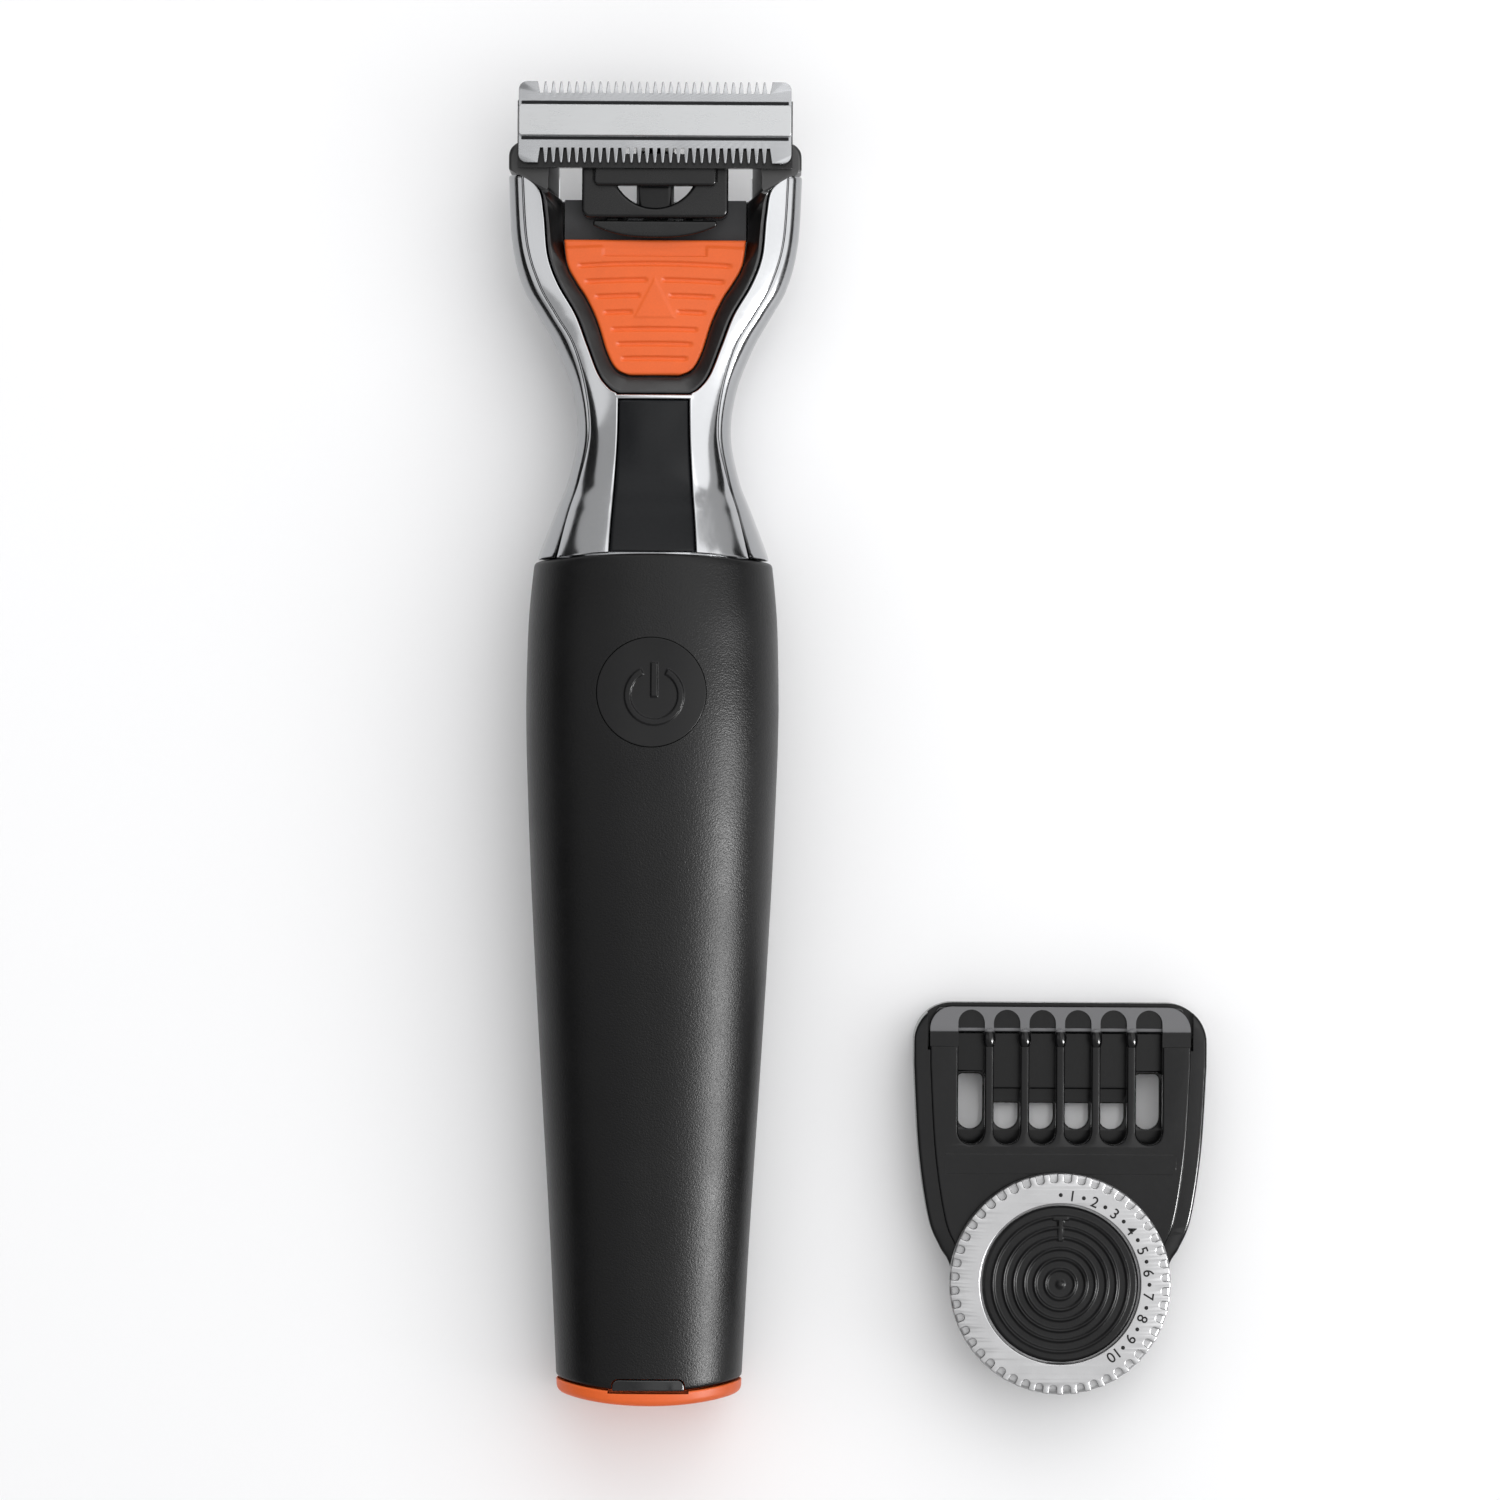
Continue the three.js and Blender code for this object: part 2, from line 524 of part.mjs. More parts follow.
function bladeOutline(half, low, high, lowTeeth, highTeeth) {
  const toothSpan = (TOOTH_COUNT / 2) * TOOTH_PITCH + 0.5;
  const corner = Math.min(1.1, half - toothSpan - 0.2);
  const shape = new THREE.Shape();
  shape.moveTo(-half + corner, low);
  shape.lineTo(-toothSpan, low);
  shape.lineTo(-toothSpan + 0.3, low + lowTeeth);
  toothedEdge(shape, low + lowTeeth, -lowTeeth, 1);
  shape.lineTo(toothSpan - 0.3, low + lowTeeth);
  shape.lineTo(toothSpan, low);
  shape.lineTo(half - corner, low);
  shape.absarc(half - corner, low + corner, corner, -Math.PI / 2, 0);
  shape.absarc(half - corner, high - corner, corner, 0, Math.PI / 2);
  shape.lineTo(toothSpan, high);
  shape.lineTo(toothSpan - 0.3, high - highTeeth);
  toothedEdge(shape, high - highTeeth, highTeeth, -1);
  shape.lineTo(-toothSpan + 0.3, high - highTeeth);
  shape.lineTo(-toothSpan, high);
  shape.absarc(corner - half, high - corner, corner, Math.PI / 2, Math.PI);
  shape.absarc(corner - half, low + corner, corner, Math.PI, 1.5 * Math.PI);
  return shape;
}

function buildHead() {
  addPair('pivot_pin', 'steel', rodX(0.7, 6.4, 9.6, PIVOT_Y, PIVOT_Z));

  const bar = block(-17.6, 17.6, 98.8, 107.4, 17.9, 19.7);
  const ears = bothSides(6.7, 8, 101.3, 104.4, 13.8, 18.2);
  const window = block(-3.9, 3.9, 100.6, 105.6, 10, 30);
  const underGroove = block(-3.9, 3.9, 98, 101, 10, 18.7);
  const pinHole = rodX(0.78, -12, 12, PIVOT_Y, PIVOT_Z);
  const posts = bothSides(16.8, 17.6, 101, 107.2, 19.5, 20.7);
  const springSeats = bothSides(4.6, 13.8, 102.9, 105.5, 18.5, 22);
  const body = join(bar, ...ears, ...posts);
  add('blade_carrier', 'satinBlack', cut(body, window, underGroove, pinHole, ...springSeats));

  const leaf = new THREE.Shape();
  leaf.absarc(9.2, 10.1, 9.7, 1.12, Math.PI - 1.12);
  leaf.absarc(9.2, 10.1, 9.45, Math.PI - 1.12, 1.12, true);
  addPair('cutter_spring', 'steel', plate(leaf, -105.2, -103.2, 8).rotateX(Math.PI / 2));

  const bladeShape = bladeOutline(BLADE_HALF, BLADE_LOW, BLADE_HIGH, 1.9, 1.5);
  add('fixed_blade', 'steel', plate(bladeShape, 21, 21.6, 3));
  add('blade_band', 'steel', block(-BLADE_HALF, BLADE_HALF, 102.7, 106.7, 21.9, 22.4));

  add('cutter', 'steel', plate(bladeOutline(15.5, 99.7, 109.3, 1.7, 1.4), 20.1, 20.7, 3));
  const prongs = bothSides(1.2, 2.4, 101, 105.3, 16.2, 19.8);
  const yokeBridge = block(-2.4, 2.4, 104.4, 105.3, 16.2, 19.8);
  add('cutter_drive_block', 'whitePlastic', join(...prongs, yokeBridge));
}

// ---- comb ----
// The comb's side from the dial's centre: each control is [y, how far it draws in].
const combSide = [
  [28, 0], [17, 0.65], [8.3, 1.95], [4.5, 3.45], [2.2, 4.75], [-4, 6.6], [-9, 9.6], [-13, 15],
];

function combOutline(insetBy, top) {
  const corner = 5 - insetBy;
  const half = COMB_HALF - insetBy;
  const sidePoints = combSide.map(([y, inward]) => new THREE.Vector2(half - inward, y)).reverse();
  const side = new THREE.SplineCurve(sidePoints).getPoints(14);
  const arc = new THREE.Shape().absarc(half - corner, top - corner, corner, 0, Math.PI / 2).getPoints(6);
  return mirroredShape([...side, ...arc]);
}

function buildComb() {
  const outline = combOutline(0, COMB_TOP);
  const hollow = combOutline(COMB_WALL, COMB_TOP - 1.6);
  const body = plate(outline, 0, 8.8);
  const pocket = plate(hollow, 1.6, 20);
  const topRelief = block(COMB_WALL - COMB_HALF, COMB_HALF - COMB_WALL, 30, 40, 4.6, 20);
  const backOpening = block(-15.5, 15.5, 17.2, 22.8, -5, 5);
  const cornerOpening = bothSides(12.3, 15.5, 20, 26.6, -5, 5);
  const boss = cut(rodZ(2.6, 1.4, 3, 0, 0), rodZ(1, 1.5, 4, 0, 0));
  const shell = cut(body, pocket, topRelief, backOpening, ...cornerOpening);
  add('comb_frame', 'glossBlack', join(shell, boss), comb);

  const guardPlate = plate(combOutline(COMB_WALL + 0.35, COMB_TOP - 0.5), 7, 9.4);
  const frontBar = block(-16, 16, 32.6, COMB_TOP - 0.6, 5.2, 8);
  const slots = [];
  for (let i = 0; i < SLOT_COUNT; i += 1) {
    const x = (i - (SLOT_COUNT - 1) / 2) * SLOT_PITCH;
    const shape = new THREE.Shape();
    const end = SLOT_WIDTH / 2;
    shape.absarc(x, 18 + end, end, Math.PI, 2 * Math.PI);
    shape.absarc(x, 35 - end, end, 0, Math.PI);
    slots.push(plate(shape, 0, 20, 6));
  }
  const axleSlot = block(-2.7, 2.7, -14, 3.4, 0, 20);
  const slope = new THREE.Shape();
  slope.moveTo(32.4, 9.5);
  slope.lineTo(COMB_TOP, 7.2);
  slope.lineTo(COMB_TOP + 1, 12);
  const nose = sidePlate(slope, -20, 20);
  add('comb_guard', 'glossBlack', cut(join(guardPlate, frontBar), axleSlot, nose, ...slots), comb);

  const rackPitch = (2 * Math.PI * PINION_RADIUS) / PINION_TEETH;
  const rackShape = new THREE.Shape();
  rackShape.moveTo(4.6, -8.6);
  rackShape.lineTo(4.6, 3.6);
  rackShape.lineTo(2.6, 3.6);
  for (let y = 2.5 * rackPitch; y > -7; y -= rackPitch) {
    rackShape.lineTo(2.6, y + 0.34);
    rackShape.lineTo(1.85, y + 0.16);
    rackShape.lineTo(1.85, y - 0.16);
    rackShape.lineTo(2.6, y - 0.34);
  }
  rackShape.lineTo(2.6, -8.6);
  add('comb_rack', 'glossBlack', plate(rackShape, 3.8, 6.7), comb);

  const pinionShape = new THREE.Shape();
  for (let tooth = 0; tooth < PINION_TEETH; tooth += 1) {
    const angle = (tooth / PINION_TEETH) * 2 * Math.PI;
    [[1.5, -0.24], [2.3, -0.08], [2.3, 0.08], [1.5, 0.24]].forEach(([r, turn], i) => {
      const point = [r * Math.cos(angle + turn), r * Math.sin(angle + turn)];
      return tooth + i === 0 ? pinionShape.moveTo(...point) : pinionShape.lineTo(...point);
    });
  }
  const pinion = join(plate(pinionShape, 3.6, 6.5), rodZ(1.45, 6.3, 9.6, 0, 0));
  add('comb_pinion', 'whitePlastic', cut(pinion, rodZ(0.88, 3, 10, 0, 0, 20)), comb);
  add('comb_axle_pin', 'steel', rodZ(0.8, 1.9, 12.2, 0, 0, 20), comb);
}

function buildDial() {
  const rim = new THREE.Shape();
  for (let i = 0; i < DIAL_NOTCHES; i += 1) {
    const angle = (i / DIAL_NOTCHES) * 2 * Math.PI;
    const step = (2 * Math.PI) / DIAL_NOTCHES;
    const foot = DIAL_RADIUS - NOTCH_DEPTH;
    [[DIAL_RADIUS, 0], [DIAL_RADIUS, 0.5], [foot, 0.6], [foot, 0.9]].forEach(([r, part], k) => {
      const point = [r * Math.cos(angle + part * step), r * Math.sin(angle + part * step)];
      return i + k === 0 ? rim.moveTo(...point) : rim.lineTo(...point);
    });
  }
  const ring = cut(
    plate(rim, 9.9, 12.9), rodZ(DIAL_DISC_RADIUS, 11, 20, 0, 0, 48), rodZ(1.1, 5, 20, 0, 0, 20),
  );
  add('comb_dial_ring', 'satinSilver', ring, comb);
  const capDisc = rodZ(DIAL_DISC_RADIUS - 0.2, 11.3, 13.1, 0, 0, 48);
  add('comb_dial_cap', 'softBlack', cut(capDisc, rodZ(1.1, 11, 12.5, 0, 0, 20)), comb);
}

buildHandle();
buildChargingEnd();
buildPower();
buildSwitch();
buildNeck();
buildBay();
buildSlider();
buildReleaseSpring();
buildLever();
buildBracket();
buildHead();
buildComb();
buildDial();

export default trimmer;
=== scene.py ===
"""Looks of a beard trimmer and its dial comb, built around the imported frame.

Lengths in the functions below are in millimetres, in the frame's own axes: +Y towards the blade,
+Z out of the front. They become metres when a mesh is made.
"""
import math

import bmesh
import bpy
import numpy as np
from mathutils import Matrix, Vector


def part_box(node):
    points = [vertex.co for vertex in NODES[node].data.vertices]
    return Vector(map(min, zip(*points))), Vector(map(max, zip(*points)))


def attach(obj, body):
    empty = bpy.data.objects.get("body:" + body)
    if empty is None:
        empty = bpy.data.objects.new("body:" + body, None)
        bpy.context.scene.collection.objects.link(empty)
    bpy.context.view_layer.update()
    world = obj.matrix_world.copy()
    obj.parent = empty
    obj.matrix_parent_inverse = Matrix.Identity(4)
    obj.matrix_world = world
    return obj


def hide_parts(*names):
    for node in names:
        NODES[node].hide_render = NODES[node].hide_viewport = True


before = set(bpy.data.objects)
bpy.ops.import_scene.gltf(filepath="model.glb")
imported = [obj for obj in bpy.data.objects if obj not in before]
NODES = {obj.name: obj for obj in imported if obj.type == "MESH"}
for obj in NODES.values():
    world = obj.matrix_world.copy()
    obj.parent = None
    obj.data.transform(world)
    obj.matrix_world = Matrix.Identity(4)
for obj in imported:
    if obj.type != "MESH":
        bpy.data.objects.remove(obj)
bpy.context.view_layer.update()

MM = 0.001


# ---------------------------------------------------------------- outlines
HANDLE = [
    (-60.5, 11.8, -0.5, 19.8), (-40, 12.8, -0.5, 21.2), (-20, 14.0, -0.5, 23.0), (0, 15.15, -0.5, 25.0),
    (15, 15.85, -0.5, 26.2), (28, 16.25, -0.5, 26.8), (38.4, 16.1, -0.5, 26.4), (44, 15.75, -0.5, 25.9),
    (50, 15.1, -0.5, 25.0),
]
NECK = [
    (46.5, 15.3, 0.4, 25.0), (49.3, 14.7, 0.8, 24.4), (55.1, 12.5, 2.8, 21.8), (59, 11.0, 4.2, 20.2),
    (64.7, 9.9, 5.2, 19.0), (70.5, 10.6, 5.9, 18.3), (76.2, 12.8, 6.4, 17.9), (80.1, 15.0, 6.7, 17.7),
    (84, 17.1, 6.9, 17.5), (89.7, 18.45, 7.0, 17.3), (98.2, 18.9, 7.2, 17.0),
]
PARTING = [
    (46.5, 13.1), (49.3, 12.5), (55.1, 10.9), (59, 9.65), (64.7, 8.5), (70.5, 9.0), (76.2, 10.6),
    (80.1, 12.9), (84, 15.1), (89.7, 16.8), (98.6, 17.4),
]
STRIP = [(46.5, 5.8), (52, 5.55), (58, 5.1), (64, 4.75), (69.5, 4.65)]
BEZEL = [
    (70.0, 4.6), (70.6, 5.6), (72.4, 7.0), (76.2, 8.5), (80.1, 10.0), (84, 12.25), (87.8, 13.6),
    (93, 14.1), (96.4, 14.8), (98.2, 17.2), (98.6, 18.8),
]
RECESS = [
    (72.1, 3.4), (72.9, 5.0), (75, 6.2), (79, 7.5), (82, 8.9), (84, 10.2), (86.4, 11.4), (90.4, 11.9),
]
HANDLE_POWER = 2.4
NECK_POWER = 2.7
SLEEVE_TOP, SLEEVE_TOP_ARC = 49.3, 116.0
SLEEVE_END, CAP_END, BASE_ARC = -57.95, -59.9, 52.0
WALL = 1.8
BUTTON_Y, BUTTON_RADIUS = 31.6, 7.0
TRIM_LOW, NECK_TOP = 49.5, 98.2
COMB_CENTRE = (53.0, -44.35)
COMB_HALF, COMB_CORNER = 18.95, 5
SLOTS, SLOT_PITCH = 6, 4.6
GUARD_BAR_Y = 32.35
SHARP_ANGLE = 35


def catmull(controls, samples=480):
    """Points on the same spline that the frame's outlines follow."""
    points = np.array(controls, float)
    last = len(points) - 1
    place = np.linspace(0, last, samples)
    i = np.minimum(place.astype(int), last - 1)
    t = (place - i)[:, None]
    before, here = points[np.maximum(i - 1, 0)], points[i]
    there, after = points[i + 1], points[np.minimum(i + 2, last)]
    v0, v1 = (there - before) / 2, (after - here) / 2
    bend = (2 * here - 2 * there + v0 + v1) * t**3 + (-3 * here + 3 * there - 2 * v0 - v1) * t**2
    return bend + v0 * t + here


class Outline:
    """A spline of [y, value, ...] controls, read as functions of y."""

    def __init__(self, controls):
        self.points = catmull(controls)

    def __call__(self, y, column=1):
        return np.interp(y, self.points[:, 0], self.points[:, column])

    def edge(self, low, high, count, widen=0.0):
        y = np.linspace(low, high, count)
        return np.stack([self(y) + widen, y], 1)


handle, neck = Outline(HANDLE), Outline(NECK)
parting, strip, bezel, recess = Outline(PARTING), Outline(STRIP), Outline(BEZEL), Outline(RECESS)


def top_surface(outline, power, x, y):
    """Height of a rounded section's front at (x, y)."""
    low, high = outline(y, 2), outline(y, 3)
    ratio = np.clip(np.abs(x) / outline(y), 0, 1)
    return (low + high) / 2 + (high - low) / 2 * (1 - ratio**power) ** (1 / power)


def smooth(a, b, x):
    t = np.clip((x - a) / (b - a), 0, 1)
    return t * t * (3 - 2 * t)


def mirrored_loop(right_edge):
    """A closed outline from its right-hand edge, listed from the bottom up."""
    right_edge = np.asarray(right_edge, float)
    return np.concatenate([right_edge, right_edge[::-1] * (-1, 1)])


def arc(cx, cy, radius, start, end, count):
    angle = np.radians(np.linspace(start, end, count))
    return np.stack([cx + radius * np.cos(angle), cy + radius * np.sin(angle)], 1)


def rounded_loop(half, low, high, radius, count, top_radius=None):
    """A rectangle about x = 0 with round corners."""
    top = top_radius or radius
    return np.array([*arc(half - radius, low + radius, radius, -90, 0, count),
                     *arc(half - top, high - top, top, 0, 90, count),
                     *arc(top - half, high - top, top, 90, 180, count),
                     *arc(radius - half, low + radius, radius, 180, 270, count)])


def turns(count):
    return np.linspace(0, 2 * np.pi, count, endpoint=False)


def circle(radius, z, angle, y=0.0):
    return np.stack([radius * np.cos(angle), y + radius * np.sin(angle), np.full(len(angle), z)], 1)


def base_arc_y(x, lowest):
    return lowest + BASE_ARC - np.sqrt(BASE_ARC**2 - np.minimum(np.abs(x), 30) ** 2)


def top_arc_y(x, highest):
    return highest - SLEEVE_TOP_ARC + np.sqrt(SLEEVE_TOP_ARC**2 - np.minimum(np.abs(x), 30) ** 2)


# ---------------------------------------------------------------- meshes
def add_object(name, data):
    obj = bpy.data.objects.new(name, data)
    bpy.context.scene.collection.objects.link(obj)
    return obj


def evaluated_mesh(obj):
    """A new mesh of obj as its curve settings or its modifiers leave it."""
    bpy.context.view_layer.update()
    return bpy.data.meshes.new_from_object(obj.evaluated_get(bpy.context.evaluated_depsgraph_get()))


def make_mesh(name, vertices, faces, sharp=SHARP_ANGLE):
    mesh = bpy.data.meshes.new(name)
    mesh.from_pydata((np.asarray(vertices, float) * MM).tolist(), [], [list(map(int, f)) for f in faces])
    return finish_object(name, mesh, sharp)


def finish_object(name, mesh, sharp=SHARP_ANGLE):
    """Welds and orients a mesh, marks its sharp edges and puts it in the scene."""
    clean = bmesh.new()
    clean.from_mesh(mesh)
    bmesh.ops.remove_doubles(clean, verts=clean.verts, dist=2e-6)
    bmesh.ops.dissolve_degenerate(clean, edges=clean.edges, dist=1e-6)
    bmesh.ops.recalc_face_normals(clean, faces=clean.faces)
    clean.to_mesh(mesh)
    clean.free()
    mesh.shade_smooth()
    mesh.set_sharp_from_angle(angle=math.radians(sharp))
    return add_object(name, mesh)


def ring_faces(rows, columns, wrap_rows=False):
    faces = []
    for r in range(rows if wrap_rows else rows - 1):
        a, b = r * columns, (r + 1) % rows * columns
        faces += [(a + c, a + (c + 1) % columns, b + (c + 1) % columns, b + c) for c in range(columns)]
    return faces


def strip_cap(columns, start=0):
    """Quads across a ring whose points pair up from its two ends."""
    last = start + columns - 1
    return [(start + i, start + i + 1, last - 1 - i, last - i) for i in range(columns // 2 - 1)]


def ring_body(name, rings, sharp=SHARP_ANGLE, closed_tube=False, strips=False):
    """A solid through closed rings of equal length. A closed tube joins the last ring to the first."""
    rings = np.asarray(rings, float)
    rows, columns = rings.shape[:2]
    faces = ring_faces(rows, columns, closed_tube)
    end = (rows - 1) * columns
    if strips:
        faces += strip_cap(columns) + strip_cap(columns, end)
    elif not closed_tube:
        faces += [tuple(range(columns))[::-1], tuple(end + np.arange(columns))]
    return make_mesh(name, rings.reshape(-1, 3), faces, sharp)


def prism(name, loop, z0, z1):
    loop = np.asarray(loop, float)
    rings = [np.column_stack([loop, np.full(len(loop), z)]) for z in (z0, z1)]
    return ring_body(name, rings, sharp=30)


def box_loop(x0, x1, y0, y1):
    return np.array([(x0, y0), (x1, y0), (x1, y1), (x0, y1)], float)


def plate(name, loops, z0, z1, bevel, steps=3):
    """A plate with rounded rims, from an outline and its holes, as a bevelled curve turned into a mesh."""
    curve = bpy.data.curves.new(name, "CURVE")
    curve.dimensions = "2D"
    curve.fill_mode = "BOTH"
    for loop in loops:
        spline = curve.splines.new("POLY")
        spline.points.add(len(loop) - 1)
        flat = np.zeros((len(loop), 4))
        flat[:, :2] = np.asarray(loop) * MM
        flat[:, 3] = 1
        spline.points.foreach_set("co", flat.ravel())
        spline.use_cyclic_u = True
    curve.extrude = ((z1 - z0) / 2 - bevel) * MM
    curve.bevel_depth = bevel * MM
    curve.offset = -bevel * MM
    curve.bevel_resolution = steps
    holder = add_object(name + "_outline", curve)
    mesh = evaluated_mesh(holder)
    mesh.transform(Matrix.Translation((0, 0, (z0 + z1) / 2 * MM)))
    bpy.data.objects.remove(holder)
    mesh.materials.clear()
    return finish_object(name, mesh, sharp=40)


def cut(obj, *tools):
    """Cuts the tools out of obj and removes them."""
    for tool in tools:
        step = obj.modifiers.new("step", "BOOLEAN")
        step.operation = "DIFFERENCE"
        step.solver = "EXACT"
        step.object = tool
    mesh = evaluated_mesh(obj)
    obj.modifiers.clear()
    obj.data = mesh
    mesh.shade_smooth()
    mesh.set_sharp_from_angle(angle=math.radians(SHARP_ANGLE))
    for tool in tools:
        bpy.data.objects.remove(tool)


def join(obj, *others):
    """Puts the others' closed shells into obj's mesh and removes the others."""
    merged = bmesh.new()
    for part in (obj, *others):
        merged.from_mesh(part.data)
    merged.to_mesh(obj.data)
    merged.free()
    for other in others:
        bpy.data.objects.remove(other)


def rod(name, radius, z0, z1, y=0.0, count=96):
    """A round solid along Z."""
    return ring_body(name, [circle(radius, z, turns(count), y) for z in (z0, z1)])


def aim(obj, axis, y, z):
    """Turns a piece that was made along Z by 90 degrees about an axis, and puts it at (0, y, z)."""
    place = Matrix.Translation((0, y * MM, z * MM))
    obj.data.transform(place @ Matrix.Rotation(math.radians(90), 4, axis))


def dress(obj, material, body, node=None):
    """Gives a piece its material, the body that it rides on, and the node that it stands for."""
    obj.data.materials.clear()
    obj.data.materials.append(material)
    weighted = obj.modifiers.new("weighted_normals", "WEIGHTED_NORMAL")
    weighted.keep_sharp = True
    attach(obj, body)
    if node:
        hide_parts(node)


# ---------------------------------------------------------------- materials
class Nodes:
    """A short way to add shader nodes to a new material, or to a copy of a finished one."""

    def __init__(self, name=None, source=None):
        self.material = source.copy() if source else bpy.data.materials.new(name)
        self.material.use_nodes = True
        self.tree = self.material.node_tree
        self.shader = self.tree.nodes["Principled BSDF"]
        coordinates = self.tree.nodes["Texture Coordinate"] if source else self.add("ShaderNodeTexCoord")
        self.place = coordinates.outputs["Object"]

    def add(self, kind, **settings):
        node = self.tree.nodes.new(kind)
        for key, value in settings.items():
            setattr(node, key, value)
        return node

    def fill(self, socket, value):
        """Links a socket to another node's output, or sets its value."""
        if isinstance(value, bpy.types.NodeSocket):
            self.tree.links.new(value, socket)
        else:
            socket.default_value = value

    def set(self, node, **inputs):
        for key, value in inputs.items():
            self.fill(node.inputs[key.replace("_", " ")], value)
        return node

    def noise(self, size, detail=3.0, stretch=(1, 1, 1)):
        """Noise with features about size millimetres across, longer where stretch is above 1."""
        grid = self.add("ShaderNodeMapping")
        grid.inputs["Scale"].default_value = [1 / (s * size * MM) for s in stretch]
        self.tree.links.new(self.place, grid.inputs["Vector"])
        noise = self.add("ShaderNodeTexNoise")
        self.set(noise, Vector=grid.outputs["Vector"], Scale=1.0, Detail=detail, Roughness=0.55)
        return noise.outputs["Fac"]

    def ramp(self, value, low, high, out_low=0.0, out_high=1.0):
        node = self.add("ShaderNodeMapRange")
        self.set(node, Value=value, From_Min=low, From_Max=high, To_Min=out_low, To_Max=out_high)
        return node.outputs["Result"]

    def math(self, operation, a, b):
        node = self.add("ShaderNodeMath", operation=operation)
        for socket, value in zip(node.inputs, (a, b)):
            self.fill(socket, value)
        return node.outputs["Value"]

    def mix(self, amount, a, b):
        node = self.add("ShaderNodeMix", data_type="RGBA")
        for index, value in ((0, amount), (6, a), (7, b)):
            self.fill(node.inputs[index], value)
        return node.outputs[2]

    def worn_edges(self, radius):
        """Zero on flat faces and towards one on edges, broken up by noise."""
        rounded = self.set(self.add("ShaderNodeBevel", samples=4), Radius=radius * MM)
        flat = self.add("ShaderNodeNewGeometry")
        dot = self.add("ShaderNodeVectorMath", operation="DOT_PRODUCT")
        self.tree.links.new(rounded.outputs["Normal"], dot.inputs[0])
        self.tree.links.new(flat.outputs["Normal"], dot.inputs[1])
        edge = self.ramp(dot.outputs["Value"], 0.995, 0.82)
        return self.math("MULTIPLY", edge, self.ramp(self.noise(1.3), 0.35, 0.62))

    def bump(self, height, depth, normal=None):
        node = self.set(self.add("ShaderNodeBump"), Height=height, Distance=depth * MM, Strength=1.0)
        if normal is not None:
            self.tree.links.new(normal, node.inputs["Normal"])
        return node.outputs["Normal"]


def srgb(*values):
    linear = [v / 255 / 12.92 if v <= 10 else ((v / 255 + 0.055) / 1.055) ** 2.4 for v in values]
    return (*linear, 1.0)


def surface(name, colour, rough, metallic=0.0, grain=(0.25, 0.003), mottle=5.0, spread=0.06, tint=0.12,
            wear=0.25, wear_colour=None, wear_radius=0.2, brushed=(1, 1, 1), specular=0.5, transmission=0.0):
    """A finish: grain (size, depth) in mm, blotches of roughness and tint, and edges that have worn."""
    n = Nodes(name)
    base = srgb(*colour)
    blotch = n.noise(mottle, detail=4.0)
    fine = n.noise(grain[0], detail=2.0, stretch=brushed)
    light = (*[min(1.0, c * (1 + tint) + 0.004 * tint) for c in base[:3]], 1.0)
    dark = (*[c * (1 - tint) for c in base[:3]], 1.0)
    speckle = n.math("ADD", n.math("MULTIPLY", blotch, 0.6), n.math("MULTIPLY", fine, 0.4))
    toned = n.mix(n.ramp(speckle, 0.35, 0.65), dark, light)
    edge = n.math("MULTIPLY", n.worn_edges(wear_radius), wear)
    worn = srgb(*wear_colour) if wear_colour else light
    roughness = n.math("ADD", n.ramp(blotch, 0.3, 0.7, rough - spread, rough + spread),
                       n.ramp(fine, 0.3, 0.7, -spread / 2, spread / 2))
    n.set(n.shader, Base_Color=n.mix(edge, toned, worn), Metallic=metallic,
          Roughness=n.math("MAXIMUM", n.math("SUBTRACT", roughness, n.math("MULTIPLY", edge, 0.1)), 0.03),
          Transmission_Weight=transmission)
    n.shader.inputs["Specular IOR Level"].default_value = specular
    broad = n.bump(n.noise(mottle * 2.2), grain[1] * 1.5)
    n.set(n.shader, Normal=n.bump(fine, grain[1], broad))
    return n.material


SOFT_BLACK = surface("soft_touch_black", (8, 8, 9), 0.37, grain=(0.22, 0.045), mottle=9, spread=0.03,
                     wear=0.2, wear_colour=(36, 36, 36), wear_radius=0.3, specular=0.22)
BUTTON_BLACK = surface("button_black", (14, 14, 15), 0.36, grain=(0.35, 0.002), mottle=6, wear=0.2,
                       wear_colour=(50, 50, 50), specular=0.2)
GLOSS_BLACK = surface("gloss_black", (13, 13, 14), 0.16, grain=(0.6, 0.0012), mottle=9, spread=0.035,
                      wear=0.25, wear_colour=(60, 60, 60), specular=0.24)
SATIN_BLACK = surface("satin_black", (11, 11, 12), 0.25, grain=(0.3, 0.003), mottle=5, wear=0.3,
                      wear_colour=(60, 60, 60), specular=0.28)
BEZEL_BLACK = surface("bezel_black", (15, 15, 16), 0.36, grain=(0.3, 0.003), mottle=5, wear=0.4,
                      wear_colour=(96, 96, 98), wear_radius=0.35, specular=0.62)
DARK_GREY = surface("dark_grey", (44, 45, 48), 0.45, grain=(0.25, 0.004), mottle=4,
                    wear_colour=(100, 100, 102), specular=0.4)
CHROME = surface("satin_chrome", (174, 175, 177), 0.14, metallic=1.0, grain=(0.5, 0.0006), mottle=12,
                 spread=0.025, tint=0.02, wear=0.3, wear_colour=(235, 235, 236), wear_radius=0.25)
ORANGE = surface("orange_plastic", (226, 98, 38), 0.5, grain=(0.22, 0.004), mottle=5, tint=0.05, wear=0.3,
                 wear_colour=(250, 140, 80), specular=0.3)
SHELL_CHROME = surface("shell_chrome", (158, 159, 161), 0.16, metallic=1.0, grain=(0.5, 0.0006), mottle=12,
                       spread=0.025, tint=0.02, wear=0.2, wear_colour=(205, 206, 208), wear_radius=0.12)
